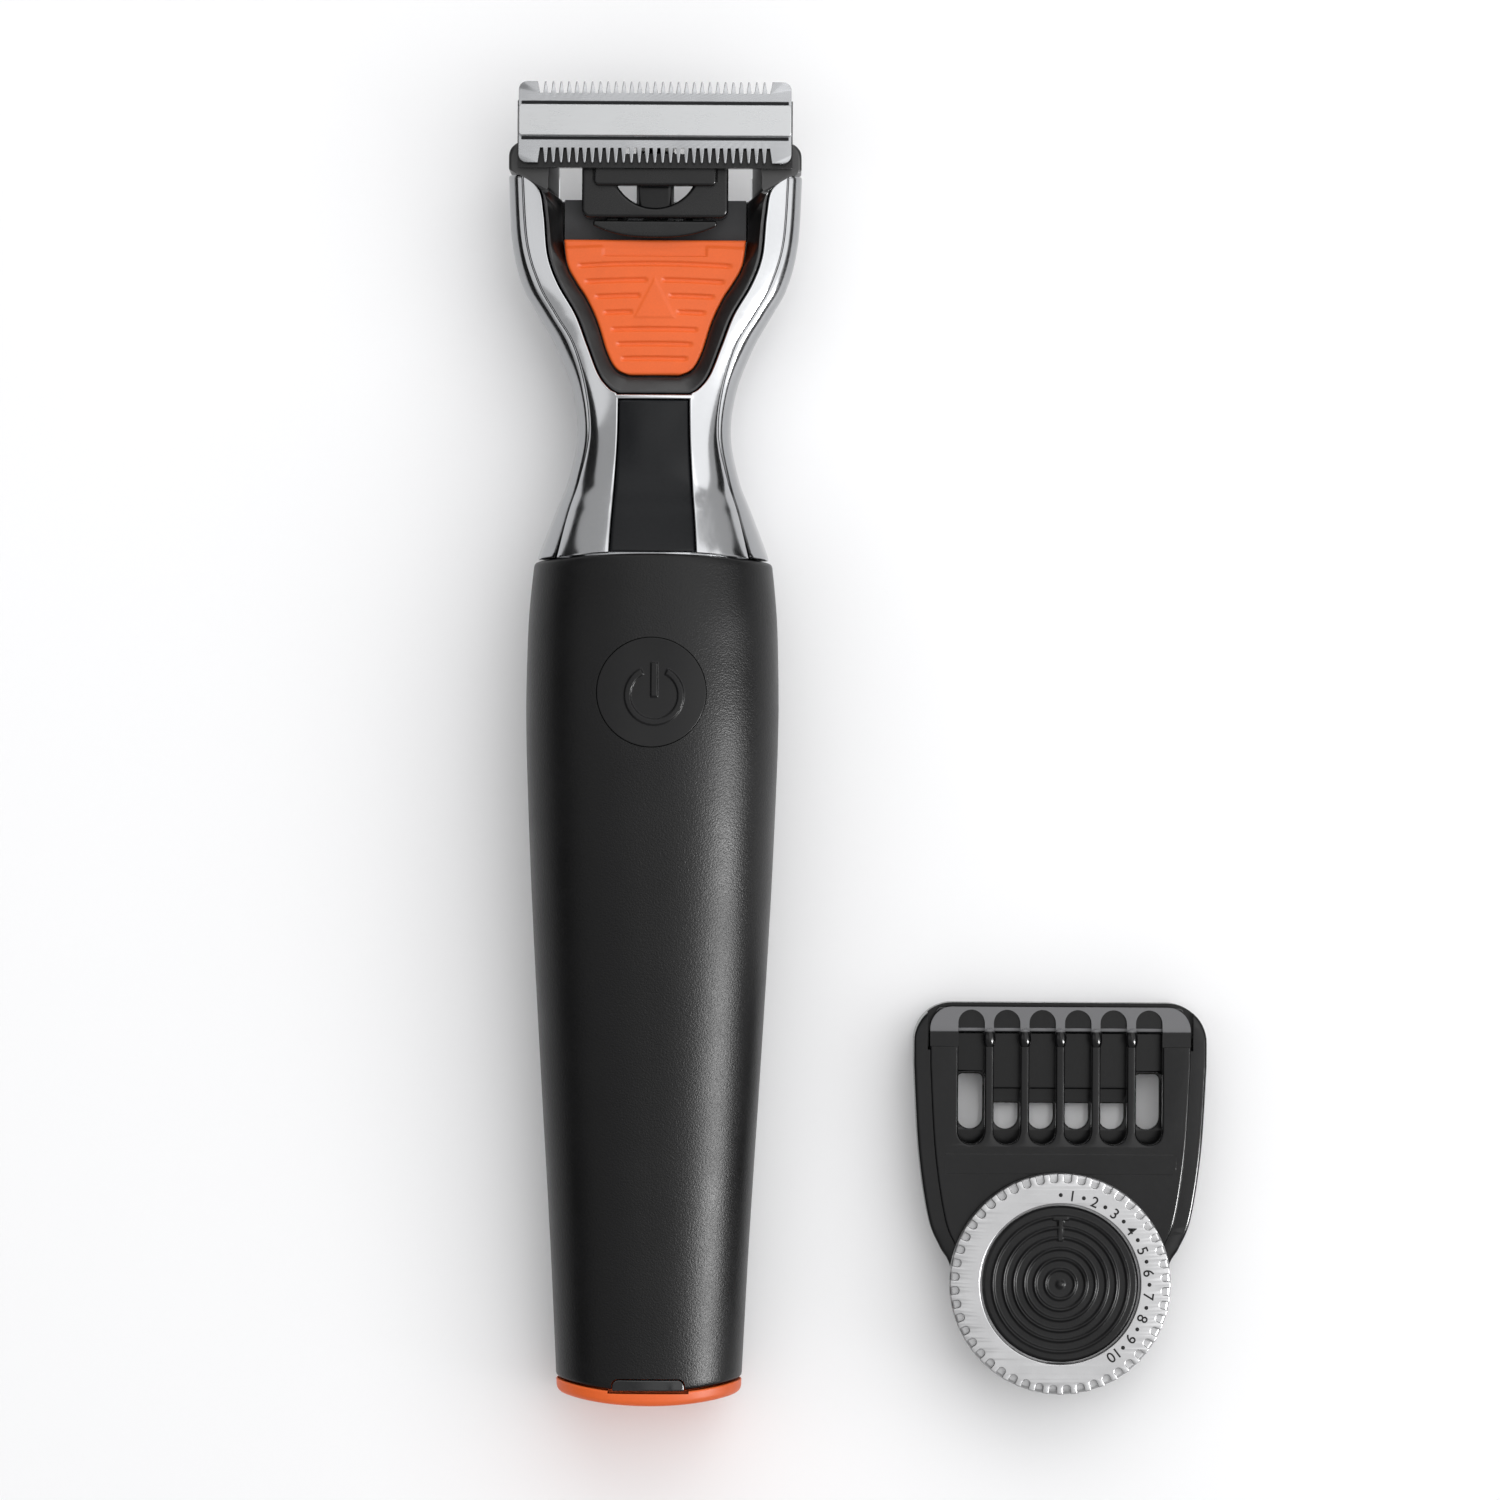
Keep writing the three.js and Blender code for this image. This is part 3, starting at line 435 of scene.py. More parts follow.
STEEL = surface("ground_steel", (148, 149, 151), 0.24, metallic=1.0, grain=(0.12, 0.0008),
                brushed=(14, 1, 1), mottle=6, tint=0.04, wear=0.7, wear_colour=(84, 85, 88),
                wear_radius=0.12)
SPRING_STEEL = surface("spring_steel", (74, 75, 78), 0.34, metallic=1.0, grain=(0.12, 0.001), mottle=4,
                       wear=0.3, wear_colour=(120, 121, 124), wear_radius=0.05)
BAND_STEEL = surface("bright_band", (166, 167, 168), 0.3, metallic=1.0, grain=(0.12, 0.0006),
                     brushed=(16, 1, 1), mottle=8, tint=0.02, wear=0.2, wear_radius=0.1)
SATIN_SILVER = surface("satin_silver", (160, 160, 161), 0.34, metallic=1.0, grain=(0.14, 0.0012), mottle=4,
                       tint=0.04, wear=0.4, wear_colour=(232, 232, 232), wear_radius=0.15)
SMOKED = surface("smoked_window", (16, 17, 19), 0.14, grain=(0.5, 0.001), mottle=4, wear=0.3,
                 wear_colour=(120, 120, 125))
BRASS = surface("brass", (190, 158, 92), 0.28, metallic=1.0, grain=(0.15, 0.001), mottle=2)
BOARD_GREEN = surface("circuit_board", (28, 84, 52), 0.45, grain=(0.3, 0.004), mottle=2, tint=0.2)
CELL_BLUE = surface("cell_sleeve_blue", (46, 84, 140), 0.35, grain=(0.5, 0.003), mottle=6)
WHITE_PLASTIC = surface("white_plastic", (228, 228, 224), 0.4, grain=(0.3, 0.003), mottle=4, tint=0.04)
CLEAR_WHITE = surface("clear_light_pipe", (238, 240, 242), 0.18, grain=(0.4, 0.001), mottle=2, tint=0.02,
                      transmission=0.7)
PRINT_BLACK = surface("printed_black", (12, 12, 12), 0.5, grain=(0.1, 0.001), mottle=1.5, wear=0.1,
                      specular=0.2)
# Also used for the blade's painted shadow lines, in the grooves beside the raised band.
INLAY_AND_SHADOW_BLACK = surface("inlay_and_shadow_black", (20, 21, 23), 0.2, grain=(0.5, 0.001), mottle=8, spread=0.04,
                      wear=0.35, wear_colour=(60, 61, 65), specular=0.13)
DISC_BLACK = surface("textured_black", (15, 15, 16), 0.36, grain=(0.16, 0.02), mottle=4, wear=0.3,
                     wear_colour=(74, 74, 74), specular=0.2)


def paint_bar_highlight(material, start_y, lowest_z, colour, rough):
    """Paints a highlight into a copy of a material: lighter and duller on a raised bar beyond start_y, where
    light falls on the bar.
    """
    n = Nodes(source=material)
    axes = n.set(n.add("ShaderNodeSeparateXYZ"), Vector=n.place)
    highlight_mask = n.math("MULTIPLY", n.ramp(axes.outputs["Y"], start_y * MM, (start_y + 0.15) * MM),
                  n.ramp(axes.outputs["Z"], lowest_z * MM, (lowest_z + 0.15) * MM))
    base, roughness = n.shader.inputs["Base Color"], n.shader.inputs["Roughness"]
    n.set(n.shader, Base_Color=n.mix(highlight_mask, base.links[0].from_socket, srgb(*colour)),
          Roughness=n.math("MAXIMUM", roughness.links[0].from_socket, n.math("MULTIPLY", highlight_mask, rough)))
    return n.material


# Painted highlight on the guard's front bar: a lighter grey where light falls on it.
GUARD_BLACK = paint_bar_highlight(GLOSS_BLACK, GUARD_BAR_Y + COMB_CENTRE[1], 7.1, (104, 104, 106), 0.4)


# ---------------------------------------------------------------- handle
def section_loop(outline, power, edge_y, inset, count=200):
    """A closed loop around a rounded section whose points' y follow a curved edge."""
    angle = (np.arange(count) + 0.5) / count * 2 * np.pi
    across = np.sign(np.cos(angle)) * np.abs(np.cos(angle)) ** (2 / power)
    up = np.sign(np.sin(angle)) * np.abs(np.sin(angle)) ** (2 / power)
    x = across * 13
    for _ in range(6):
        y = edge_y(x)
        x = across * (outline(y) - inset)
    low, high = outline(y, 2), outline(y, 3)
    z = (low + high) / 2 + ((high - low) / 2 - inset) * up
    return np.stack([x, y, np.maximum(z, inset)], 1)


def between_edges(low_edge, high_edge, part, offset=0.0):
    return lambda x: low_edge(x) * (1 - part) + high_edge(x) * part + offset


def build_sleeve():
    low, high = (lambda x: base_arc_y(x, SLEEVE_END)), (lambda x: top_arc_y(x, SLEEVE_TOP))
    outside = [section_loop(handle, HANDLE_POWER, between_edges(low, high, 0, y), inset)
               for y, inset in ((0, 0.42), (0.06, 0.2), (0.2, 0.05), (0.42, 0))]
    outside += [section_loop(handle, HANDLE_POWER, between_edges(low, high, part), 0)
                for part in np.linspace(0.01, 0.99, 110)]
    outside += [section_loop(handle, HANDLE_POWER, between_edges(low, high, 1, -y), inset)
                for y, inset in ((0.5, 0), (0.25, 0.06), (0.08, 0.22), (0, 0.5))]
    inside = [section_loop(handle, HANDLE_POWER, between_edges(low, high, part), WALL)
              for part in np.linspace(1, 0, 40)]
    sleeve = ring_body("visual_handle_sleeve", outside + inside, closed_tube=True)
    hole = rod("hole", BUTTON_RADIUS + 0.06, 20, 30, BUTTON_Y, 240)
    half, top = 4.75, -56.35
    notch = np.array([(-half, -60), (half, -60), *arc(half - 0.9, top - 0.9, 0.9, 0, 90, 7),
                      *arc(0.9 - half, top - 0.9, 0.9, 90, 180, 7)])
    cut(sleeve, hole, prism("notch", notch, 17, 30))
    dress(sleeve, SOFT_BLACK, "handle", "handle_sleeve")


def symbol_height(x, y):
    """Raised power mark: an open ring with a bar in its opening."""
    x, y = x - 0.35, y + 0.4
    radius, turn = np.hypot(x, y), np.degrees(np.arctan2(x, y))
    ring = smooth(0.52, 0.26, np.abs(radius - 3.4)) * smooth(24, 30, np.abs(turn))
    bar = smooth(0.55, 0.3, np.abs(x)) * smooth(-0.35, -0.05, y) * smooth(4.3, 4.05, y)
    return np.maximum(ring, bar)


def build_power_button():
    stem_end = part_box("power_button")[0][2] / MM
    dish_depth, rim_round = 0.42, 0.12
    angle = turns(360)
    rings = []
    for radius in np.concatenate([np.linspace(0.05, 6.86, 80), [6.92, 6.96, 6.99, 7.0]]):
        x, y = radius * np.cos(angle), radius * np.sin(angle)
        face = top_surface(handle, HANDLE_POWER, x, BUTTON_Y + y) - 0.06
        dish = dish_depth * (1 - (radius / BUTTON_RADIUS) ** 2)
        past_rim = max(0.0, radius - (BUTTON_RADIUS - rim_round))
        rim = rim_round - math.sqrt(max(0.0, rim_round**2 - past_rim**2))
        rings.append(np.stack([x, BUTTON_Y + y, face - dish - rim + 0.2 * symbol_height(x, y)], 1))
    flange = [(7.0, 23.3), (7.9, 23.3), (8.1, 23.15), (8.1, 22.8), (6.4, 22.8)]
    stem = [(1.2, 22.8), (1.2, stem_end)]
    rings += [circle(radius, z, angle, BUTTON_Y) for radius, z in flange + stem]
    button = ring_body("visual_power_button", rings)
    dress(button, BUTTON_BLACK, "power_button", "power_button")


def build_base_cap():
    edge = lambda x: base_arc_y(x, SLEEVE_END - 0.22)
    bottom = lambda x: base_arc_y(x, CAP_END)
    plug_inset = WALL + 0.35
    rings = [section_loop(handle, HANDLE_POWER, lambda x: np.full_like(x, -55.0), plug_inset)]
    rings += [section_loop(handle, HANDLE_POWER, between_edges(edge, edge, 0, -offset), inset)
              for offset, inset in ((0, plug_inset), (0, 0.3), (0.06, 0.1), (0.2, 0))]
    rings += [section_loop(handle, HANDLE_POWER, between_edges(bottom, bottom, 0, offset), inset)
              for offset, inset in ((0.75, 0), (0.45, 0.06), (0.2, 0.24), (0.05, 0.5), (0, 0.8))]
    cap = ring_body("visual_base_cap", rings, strips=True)
    hole = rod("hole", 3.4, -3, 12)
    aim(hole, "X", -52, 10)
    relief = prism("relief", box_loop(-5.2, 5.2, -58.3, -54), 17.2, 30)
    cut(cap, hole, relief)
    dress(cap, ORANGE, "handle", "base_cap")


def height_body(name, rows, reach, top, bottom, rounding=0.3, columns=48):
    """A solid over rows of y whose top follows top(x, y), with rounded side and end edges."""
    rows = np.asarray(rows, float)
    edge = rounding * (1 - np.cos(np.linspace(0, np.pi / 2, 6)))[:-1]
    rings = []
    for y in rows:
        half = reach(y)
        inner = np.linspace(0, half - rounding, columns)
        x = np.concatenate([-(half - edge), -inner[::-1][:-1], inner, (half - edge)[::-1]])
        side = np.clip(rounding - (half - np.abs(x)), 0, rounding)
        end = max(0.0, rounding - min(y - rows[0], rows[-1] - y))
        drop = rounding - np.sqrt(np.maximum(rounding**2 - side**2, 0))
        drop = drop + rounding - math.sqrt(max(rounding**2 - end**2, 0))
        z = top(x, np.full_like(x, y)) - drop
        low = bottom(x, y) if callable(bottom) else np.full_like(x, bottom)
        upper = np.stack([x, np.full_like(x, y), z], 1)
        lower = np.stack([x, np.full_like(x, y), low], 1)[::-1]
        rings.append(np.concatenate([upper, lower]))
    return ring_body(name, rings, strips=True)


def ended_rows(low, high, step, rounding):
    edge = rounding * (1 - np.cos(np.linspace(0, np.pi / 2, 6)))
    inner = np.arange(low + rounding + step, high - rounding - step / 2, step)
    return np.concatenate([low + edge, inner, (high - edge)[::-1]])


def build_charge_window():
    half, top, corner = 4.6, -56.5, 0.9

    def reach(y):
        drop = np.clip(y - (top - corner), 0, corner)
        return half - (corner - math.sqrt(max(corner**2 - drop**2, 0.0001)))

    surface_z = lambda x, y: top_surface(handle, HANDLE_POWER, x, y) + 0.05
    rows = ended_rows(-57.9, -56.52, 0.08, 0.14)
    lens = height_body("visual_charge_window", rows, reach, surface_z, 18.0, 0.14, 40)
    dress(lens, SMOKED, "handle", "charge_window")


# ---------------------------------------------------------------- neck
def edge_steps(length, rounding, count):
    """Distances along a span that crowd at both ends, where the edges are rounded."""
    edge = rounding * (1 - np.cos(np.linspace(0, np.pi / 2, 6)))
    middle = np.linspace(rounding, length - rounding, count)
    return np.concatenate([edge[:-1], middle, (length - edge[:-1])[::-1]])


def path_points(points, count):
    """Points evenly spaced along a path."""
    points = np.asarray(points, float)
    travel = np.concatenate([[0], np.cumsum(np.hypot(*np.diff(points, axis=0).T))])
    place = np.linspace(0, travel[-1], count)
    return np.stack([np.interp(place, travel, points[:, k]) for k in range(2)], 1)


def trim_side(mirror):
    """One side of the neck's front, between the parting line and the bezel or the inlay strip."""
    gap, edge = 0.18, 0.25
    end = lambda x: top_arc_y(x, TRIM_LOW)
    above = np.linspace(97.94, 70.0, 220)
    below = np.linspace(69.3, TRIM_LOW, 130)
    rings = []
    for y in np.concatenate([above, below]):
        inner = bezel(y) + gap if y > 69.6 else strip(y) - 0.1
        outer = parting(y) - gap
        along = edge_steps(outer - inner, edge, 26)
        x = inner + along
        shift = smooth(54.5, TRIM_LOW, y) * (end(x) - TRIM_LOW)
        near = np.clip(edge - np.minimum(along, outer - inner - along), 0, edge)
        end_near = np.clip(0.15 - (y - TRIM_LOW), 0, 0.15)
        row_y = y + shift
        z = top_surface(neck, NECK_POWER, x, row_y) - (edge - np.sqrt(edge**2 - near**2)) - end_near
        upper = np.stack([mirror * x, row_y, z], 1)
        lower = np.stack([mirror * x, row_y, np.full_like(x, 13.6)], 1)[::-1]
        rings.append(np.concatenate([upper, lower]))
    return ring_body("trim_side", rings, strips=True)


def build_neck_trim():
    trim_z = lambda x, y: top_surface(neck, NECK_POWER, x, y)
    bridge_rows = ended_rows(69.28, 69.84, 0.06, 0.2)
    bridge = height_body("visual_neck_front_trim", bridge_rows, lambda y: 5.15, trim_z, 15.0, 0.2, 30)
    join(bridge, trim_side(1), trim_side(-1))
    dress(bridge, CHROME, "handle", "neck_front_trim")


def build_inlay_strip():
    strip_top = lambda x, y: top_surface(neck, NECK_POWER, x, y) - 0.2
    under = lambda x, y: top_surface(neck, NECK_POWER, x, np.full_like(x, y)) - 1.4
    rows = ended_rows(TRIM_LOW, 69.2, 0.35, 0.25)
    body = height_body("visual_neck_inlay_strip", rows, lambda y: strip(y) - 0.22, strip_top, under, 0.3, 30)
    dress(body, INLAY_AND_SHADOW_BLACK, "handle", "neck_inlay_strip")


def shell_loop(y, inset, rim):
    """Around the neck's outside from one parting line over the back to the other."""
    half, low, high = neck(y) - inset, neck(y, 2) + inset, neck(y, 3) - inset
    edge = parting(y)
    start = math.acos(min(1.0, (edge / half) ** (NECK_POWER / 2)))
    angle = np.linspace(start, -math.pi - start, 150)
    near = np.minimum(np.arange(150), np.arange(150)[::-1])
    drop = rim * np.clip(1 - near / 3, 0, 1) ** 2
    c, s = np.cos(angle), np.sin(angle)
    x = np.sign(c) * np.abs(c) ** (2 / NECK_POWER) * (half - drop)
    z = (low + high) / 2 + np.sign(s) * np.abs(s) ** (2 / NECK_POWER) * ((high - low) / 2 - drop)
    return x, z


def diagonal(loops):
    """x and z of point k on loop k, for an edge whose points each lie at their own y."""
    return tuple(np.array([loop[axis][k] for k, loop in enumerate(loops)]) for axis in (0, 1))


def build_neck_shell():
    rings = []
    wall = 1.2
    parts = np.concatenate([[0, 0.0008, 0.003, 0.006], np.linspace(0.012, 0.99, 100), [0.995, 0.999, 1.0]])
    for index, part in enumerate(parts):
        lip = {0: 0.4, 1: 0.16, 2: 0.04, len(parts) - 2: 0.1, len(parts) - 1: 0.3}.get(index, 0.0)
        x, _ = shell_loop(SLEEVE_TOP, lip, 0)
        for _ in range(5):
            y = top_arc_y(x, TRIM_LOW + 0.05) * (1 - part) + NECK_TOP * part
            x, z = diagonal([shell_loop(v, lip, 0.14) for v in y])
        inner_x, inner_z = diagonal([shell_loop(v, wall, 0) for v in y])
        rings.append(np.concatenate([np.stack([x, y, z], 1), np.stack([inner_x, y, inner_z], 1)[::-1]]))
    shell = ring_body("visual_neck_rear_shell", rings, strips=True)
    cut(shell, prism("between_tips", box_loop(-12.4, 12.4, 95.25, 100), 0, 30))
    spigot = [section_loop(lambda y, k=1: np.full_like(y, (0, 13, 2.4, 22.4)[k]), HANDLE_POWER,
                           lambda x, y=y: np.full_like(x, y), inset)
              for y, inset in ((43.6, 0.2), (44.0, 0), (50.4, 0), (50.4, 1.3), (43.6, 1.3))]
    spigot = ring_body("spigot", spigot, closed_tube=True)
    join(shell, spigot)
    dress(shell, SHELL_CHROME, "handle", "neck_rear_shell")


def build_bezel():
    right_outer = bezel.edge(70.0, NECK_TOP, 150)
    tip = [(18.8, 98.7), *arc(16.9, 100.4, 1.9, 0, 90, 10), (14.5, 102.3), (12.75, 102.3)]
    right_outer = np.concatenate([[(0, 70.0)], right_outer, tip])
    inner_tip = [(11.95, 91.5), (12.0, 95.0), (12.5, 95.4), (12.5, 97), (12.5, 99), (12.5, 101),
                 (12.55, 102.25)]
    right_inner = np.concatenate([[(0, 72.1)], recess.edge(72.1, 90.4, 120), inner_tip])
    count = 240
    outer, inner = path_points(right_outer, count), path_points(right_inner, count)
    outer = np.concatenate([outer[::-1] * (-1, 1), outer[1:]])
    inner = np.concatenate([inner[::-1] * (-1, 1), inner[1:]])
    rings = []
    for a, b in zip(inner, outer):
        y = (a[1] + b[1]) / 2
        in_tip = smooth(94.0, 97.5, y)
        floor, rim = 10.2 - 2.6 * in_tip, 16.6 + 0.4 * in_tip
        foot = 11.0 + 0.8 * in_tip
        bulge = np.linspace(0, 1, 12)
        across = np.sin(bulge * np.pi / 2) ** 1.25
        slope_top = 0.8 * (1 - in_tip) + 0.2 * in_tip
        lip = 15.4 * (1 - smooth(87.5, 90.5, y)) + (foot + 0.8) * smooth(87.5, 90.5, y)
        wall_z = lip + (rim - lip) * np.sin(bulge * np.pi / 2)
        profile = [(0.0, floor), (0.0, foot), *zip(slope_top * across, wall_z),
                   (slope_top + 0.05, rim), (0.93, rim - 0.03), (0.97, rim - 0.14), (1.0, rim - 0.4),
                   (1.0, floor)]
        rings.append([(*(a + (b - a) * t), z) for t, z in profile])
    body = ring_body("visual_yoke_bezel", rings, sharp=32)
    floor = plate("bezel_floor", [mirrored_loop(recess.edge(71.7, 89.9, 40, 0.35))], 10.2, 11.0, 0.1, 1)
    seat = prism("spring_seat", box_loop(-1, 1, 73.6, 74.6), 10.9, 12.6)
    join(body, floor, seat)
    dress(body, BEZEL_BLACK, "handle", "yoke_bezel")


# ---------------------------------------------------------------- release slider
GROOVES = [
    (74.6, 4.5, 0), (76.5, 5.1, 0), (78.4, 5.8, 0), (80.6, 6.8, 2.9), (82.7, 7.9, 1.9), (84.7, 9.2, 1),
    (86.8, 10.1, 0),
]


def slider_top(x, y):
    z = 15.4 - 0.012 * x**2 * smooth(88.5, 80, y) * 0.4
    for place, reach, gap in GROOVES:
        bend = 0.0035 * x**2
        depth = smooth(0.42, 0.1, np.abs(y - place + bend)) * smooth(reach, reach - 0.7, np.abs(x))
        if gap:
            depth = depth * smooth(gap - 0.25, gap + 0.35, np.abs(x))
        z = z - 0.26 * depth
    width = np.interp(y, (79.8, 85.6), (2.7, -0.25))
    inside = np.minimum(np.minimum(y - 79.8, width - np.abs(x)), 0.6)
    z = z + 0.13 * smooth(-0.15, 0.3, inside)
    pad = smooth(6.85, 6.45, np.abs(x)) * smooth(87.65, 87.85, y)
    z = z - 0.22 * pad
    ledge = smooth(88.55, 89.2, y + 0.12 * np.cos(np.clip(np.abs(x) / 6.7, 0, 1.6) * np.pi))
    return z * (1 - ledge) + 15.05 * ledge


def build_slider():
    reach = lambda y: recess(y - 0.35) - 0.12
    rows = ended_rows(72.45, 89.85, 0.1, 0.35)
    slider = height_body("visual_release_slider", rows, reach, slider_top, 11.3, 0.4, 76)
    cut(slider, prism("spring_pocket", box_loop(-1.4, 1.4, 71, 83.4), 10, 13.2))
    dress(slider, ORANGE, "release", "release_slider")


# ---------------------------------------------------------------- blade head
def blade_loop(half, low, high, low_teeth, high_teeth, teeth=29, root=0.31, tip=0.13):
    """A toothed sheet's outline. A tooth's half width is root at its foot and tip near its end."""
    span = teeth / 2 + 0.5
    corner = min(1.1, half - span - 0.2)
    side = span - 0.3

    def row(foot, end):
        points = []
        shoulder = end - math.copysign(0.16, end - foot)
        for k in range(teeth):
            x = k - (teeth - 1) / 2
            points += [(x - root, foot), (x - tip, shoulder), (x - tip * 0.55, end),
                       (x + tip * 0.55, end), (x + tip, shoulder), (x + root, foot)]
        return points

    def edge(foot, end):
        return [(-span, end), (-side, foot), *row(foot, end), (side, foot), (span, end)]

    lower, upper = edge(low + low_teeth, low), edge(high - high_teeth, high)
    return np.array([*lower, *arc(half - corner, low + corner, corner, -90, 0, 6),
                     *arc(half - corner, high - corner, corner, 0, 90, 6), *upper[::-1],
                     *arc(corner - half, high - corner, corner, 90, 180, 6),
                     *arc(corner - half, low + corner, corner, 180, 270, 6)])


def build_blades():
    blade = plate("visual_fixed_blade", [blade_loop(17.45, 99.3, 109.7, 1.9, 1.5)], 21.0, 21.6, 0.045, 1)
    lines = ((102.2, 102.66), (106.74, 107.2))
    cut(blade, *[prism("line", box_loop(-17.0, 17.0, y0, y1), 21.35, 22) for y0, y1 in lines])
    dress(blade, STEEL, "head_tilt", "fixed_blade")
    band = plate("visual_blade_band", [rounded_loop(17.45, 102.7, 106.7, 0.4, 5)], 21.9, 22.4, 0.14)
    dress(band, BAND_STEEL, "head_tilt", "blade_band")
    cutter_loop = blade_loop(15.5, 99.7, 109.3, 1.7, 1.4, root=0.3, tip=0.16)
    cutter = plate("visual_cutter", [cutter_loop], 20.1, 20.7, 0.04, 1)
    dress(cutter, STEEL, "cutter", "cutter")


def build_blade_shadow_lines():
    """Painted shadow lines: dark strips in the shaded grooves above and below the raised band."""
    shadow_lines = [plate("visual_blade_shadow_lines", [box_loop(-17.1, 17.1, y0, y1)], 21.3, 21.66, 0.04, 1)
             for y0, y1 in ((102.24, 102.62), (106.78, 107.16))]
    join(*shadow_lines)
    dress(shadow_lines[0], INLAY_AND_SHADOW_BLACK, "head_tilt")


def build_carrier_skirt():
    """The carrier's lower lip, over the top of the bracket's notch. Its lower edge runs into the bracket."""
    half, low, high, corner = 7.85, 96.65, 99.4, 0.65
    loop = np.array([*arc(half - corner, low + corner, corner, -90, 0, 6), (half, high), (-half, high),
                     *arc(corner - half, low + corner, corner, 180, 270, 6)])
    skirt = plate("visual_carrier_skirt", [loop], 16.05, 18.2, 0.3, 3)
    dress(skirt, SATIN_BLACK, "head_tilt")


def build_bracket():
    half, low, notch = 9.4, 92.6, 5.6
    foot = math.degrees(math.asin(0.5 / notch))
    right = [*arc(half - 1.1, low + 1.1, 1.1, -90, 0, 8), (half, 105), (8.3, 105), (8.3, 100), (notch, 100)]
    left = [(-x, y) for x, y in right[::-1]]
    loop = np.array([*right, *arc(0, 99.5, notch, foot, foot - 180 - 2 * foot, 40)[1:-1], *left])
    bracket = plate("visual_head_bracket", [loop], 11.3, 16.8, 0.42, 4)
    channel = prism("channel", box_loop(-3.9, 3.9, 90, 106), 10, 15)
    relief = prism("relief", box_loop(-8.05, 8.05, 97.2, 101), 15.4, 20)
    sockets = [prism("socket", box_loop(x - 1, x + 1, 92, 94.7), 11.2, 13.9) for x in (-5.5, 5.5)]
    pin_hole = rod("pin_hole", 0.78, -12, 12, count=32)
    aim(pin_hole, "Y", 102.8, 15.2)
    cut(bracket, channel, relief, pin_hole, *sockets)
    dress(bracket, SATIN_BLACK, "head", "head_bracket")


def build_turret():
    bow = lambda x: 90.1 + 1.5 * (np.abs(x) / 7.9) ** 2.6
    x = np.linspace(-7.9, 7.9, 50)
    loop = np.array([*zip(x, bow(x)), (8.0, 91.9), (7.8, 92.3), (-7.8, 92.3), (-8.0, 91.9)])
    turret = plate("visual_head_turret", [loop], 15.55, 16.2, 0.3, 4)
    wall = plate("wall", [box_loop(-6.4, 6.4, 91.4, 92.3)], 11.3, 15.9, 0.15, 1)
    pegs = [plate("peg", [box_loop(x - 0.7, x + 0.7, 92, 94.4)], 11.6, 13.6, 0.12, 1) for x in (-5.5, 5.5)]
    cut(wall, prism("stem_slot", box_loop(-3.7, 3.7, 88, 93), 10, 15))
    join(turret, wall, *pegs)
    dress(turret, SATIN_BLACK, "handle", "head_turret")


def build_stem():
    """The part of the drive lever that shows in the bracket's notch, over the carried-over lever."""
    side = [(2.36, 93.0), (2.36, 97.2), (2.5, 98.4), (2.9, 99.3), (2.9, 100.4), (2.4, 101.3), (2.4, 103.2)]
    stem = plate("visual_lever_stem", [mirrored_loop(side)], 12.7, 14.75, 0.7, 5)
    dress(stem, GLOSS_BLACK, "drive_lever")


# ---------------------------------------------------------------- comb
COMB_SIDE = [(-13, 15), (-9, 9.6), (-4, 6.6), (2.2, 4.75), (4.5, 3.45), (8.3, 1.95), (17, 0.65), (28, 0)]


def comb_loop(inset, top):
    """The comb's outline about the dial's centre, drawn in by inset and closed at top."""
    side = catmull([(COMB_HALF - inset - inward, y) for y, inward in COMB_SIDE], 90)
    corner = COMB_CORNER - inset
    round_corner = arc(COMB_HALF - inset - corner, top - corner, corner, 0, 90, 14)
    return mirrored_loop(np.concatenate([side, round_corner]))


def at_comb(obj):
    """Moves a piece that is drawn about the dial's centre to where the comb lies."""
    obj.data.transform(Matrix.Translation((COMB_CENTRE[0] * MM, COMB_CENTRE[1] * MM, 0)))
    return obj


def slot_x(index):
    return (index - (SLOTS - 1) / 2) * SLOT_PITCH


def floor_slot(index):
    """An opening in the comb's floor behind one slot of the guard: round below and square above."""
    x, half, low = slot_x(index), 1.62, 19.5
    high, inner = (26.7, 0.7) if index in (0, SLOTS - 1) else (22.9, 0.15)
    return np.array([*arc(x, low + half, half, 180, 360, 16),
                     *arc(x + half - inner, high - inner, inner, 0, 90, 6),
                     *arc(x - half + inner, high - inner, inner, 90, 180, 6)])


def build_comb_frame():
    wall = plate("visual_comb_frame", [comb_loop(0, 36.05), comb_loop(1.75, 34.45)], 0.0, 8.8, 0.45, 3)
    relief = prism("relief", box_loop(-17.2, 17.2, 30, 40), 4.6, 20)
    cut(wall, relief)
    floor = plate("floor", [comb_loop(1.5, 34.6), *[floor_slot(i) for i in range(SLOTS)]], 0.0, 1.6, 0.15, 2)
    boss = plate("boss", [arc(0, 0, 2.6, 0, 352.5, 48), arc(0, 0, 1, 0, 352.5, 48)], 1.4, 3.0, 0.1, 1)
    cross_side = [(9.3, 24.8), (9.8, 25.3), (9.8, 27.0), (16.9, 27.0), (16.9, 32.2)]
    cross = plate("cross", [mirrored_loop(cross_side)], 1.4, 3.6, 0.25, 2)
    join(wall, floor, boss, cross)
    dress(at_comb(wall), GLOSS_BLACK, "comb", "comb_frame")


def slot_loop(x, low, high, half):
    return np.concatenate([arc(x, low + half, half, 180, 360, 16), arc(x, high - half, half, 0, 180, 16)])


def rib_bead(x):
    """A rounded swelling on a rib, just below the guard's front bar."""
    rings = []
    for part in np.linspace(-1, 1, 17):
        size = math.sqrt(max(0.0, 1 - part**2)) ** 0.7 + 0.02
        angle = turns(24)
        across, up = 0.78 * size * np.cos(angle), 0.68 * size * np.sin(angle)
        rings.append(np.stack([x + across, np.full(24, 31.5 + 1.35 * part), 8.85 + up], 1))
    return ring_body("bead", rings)


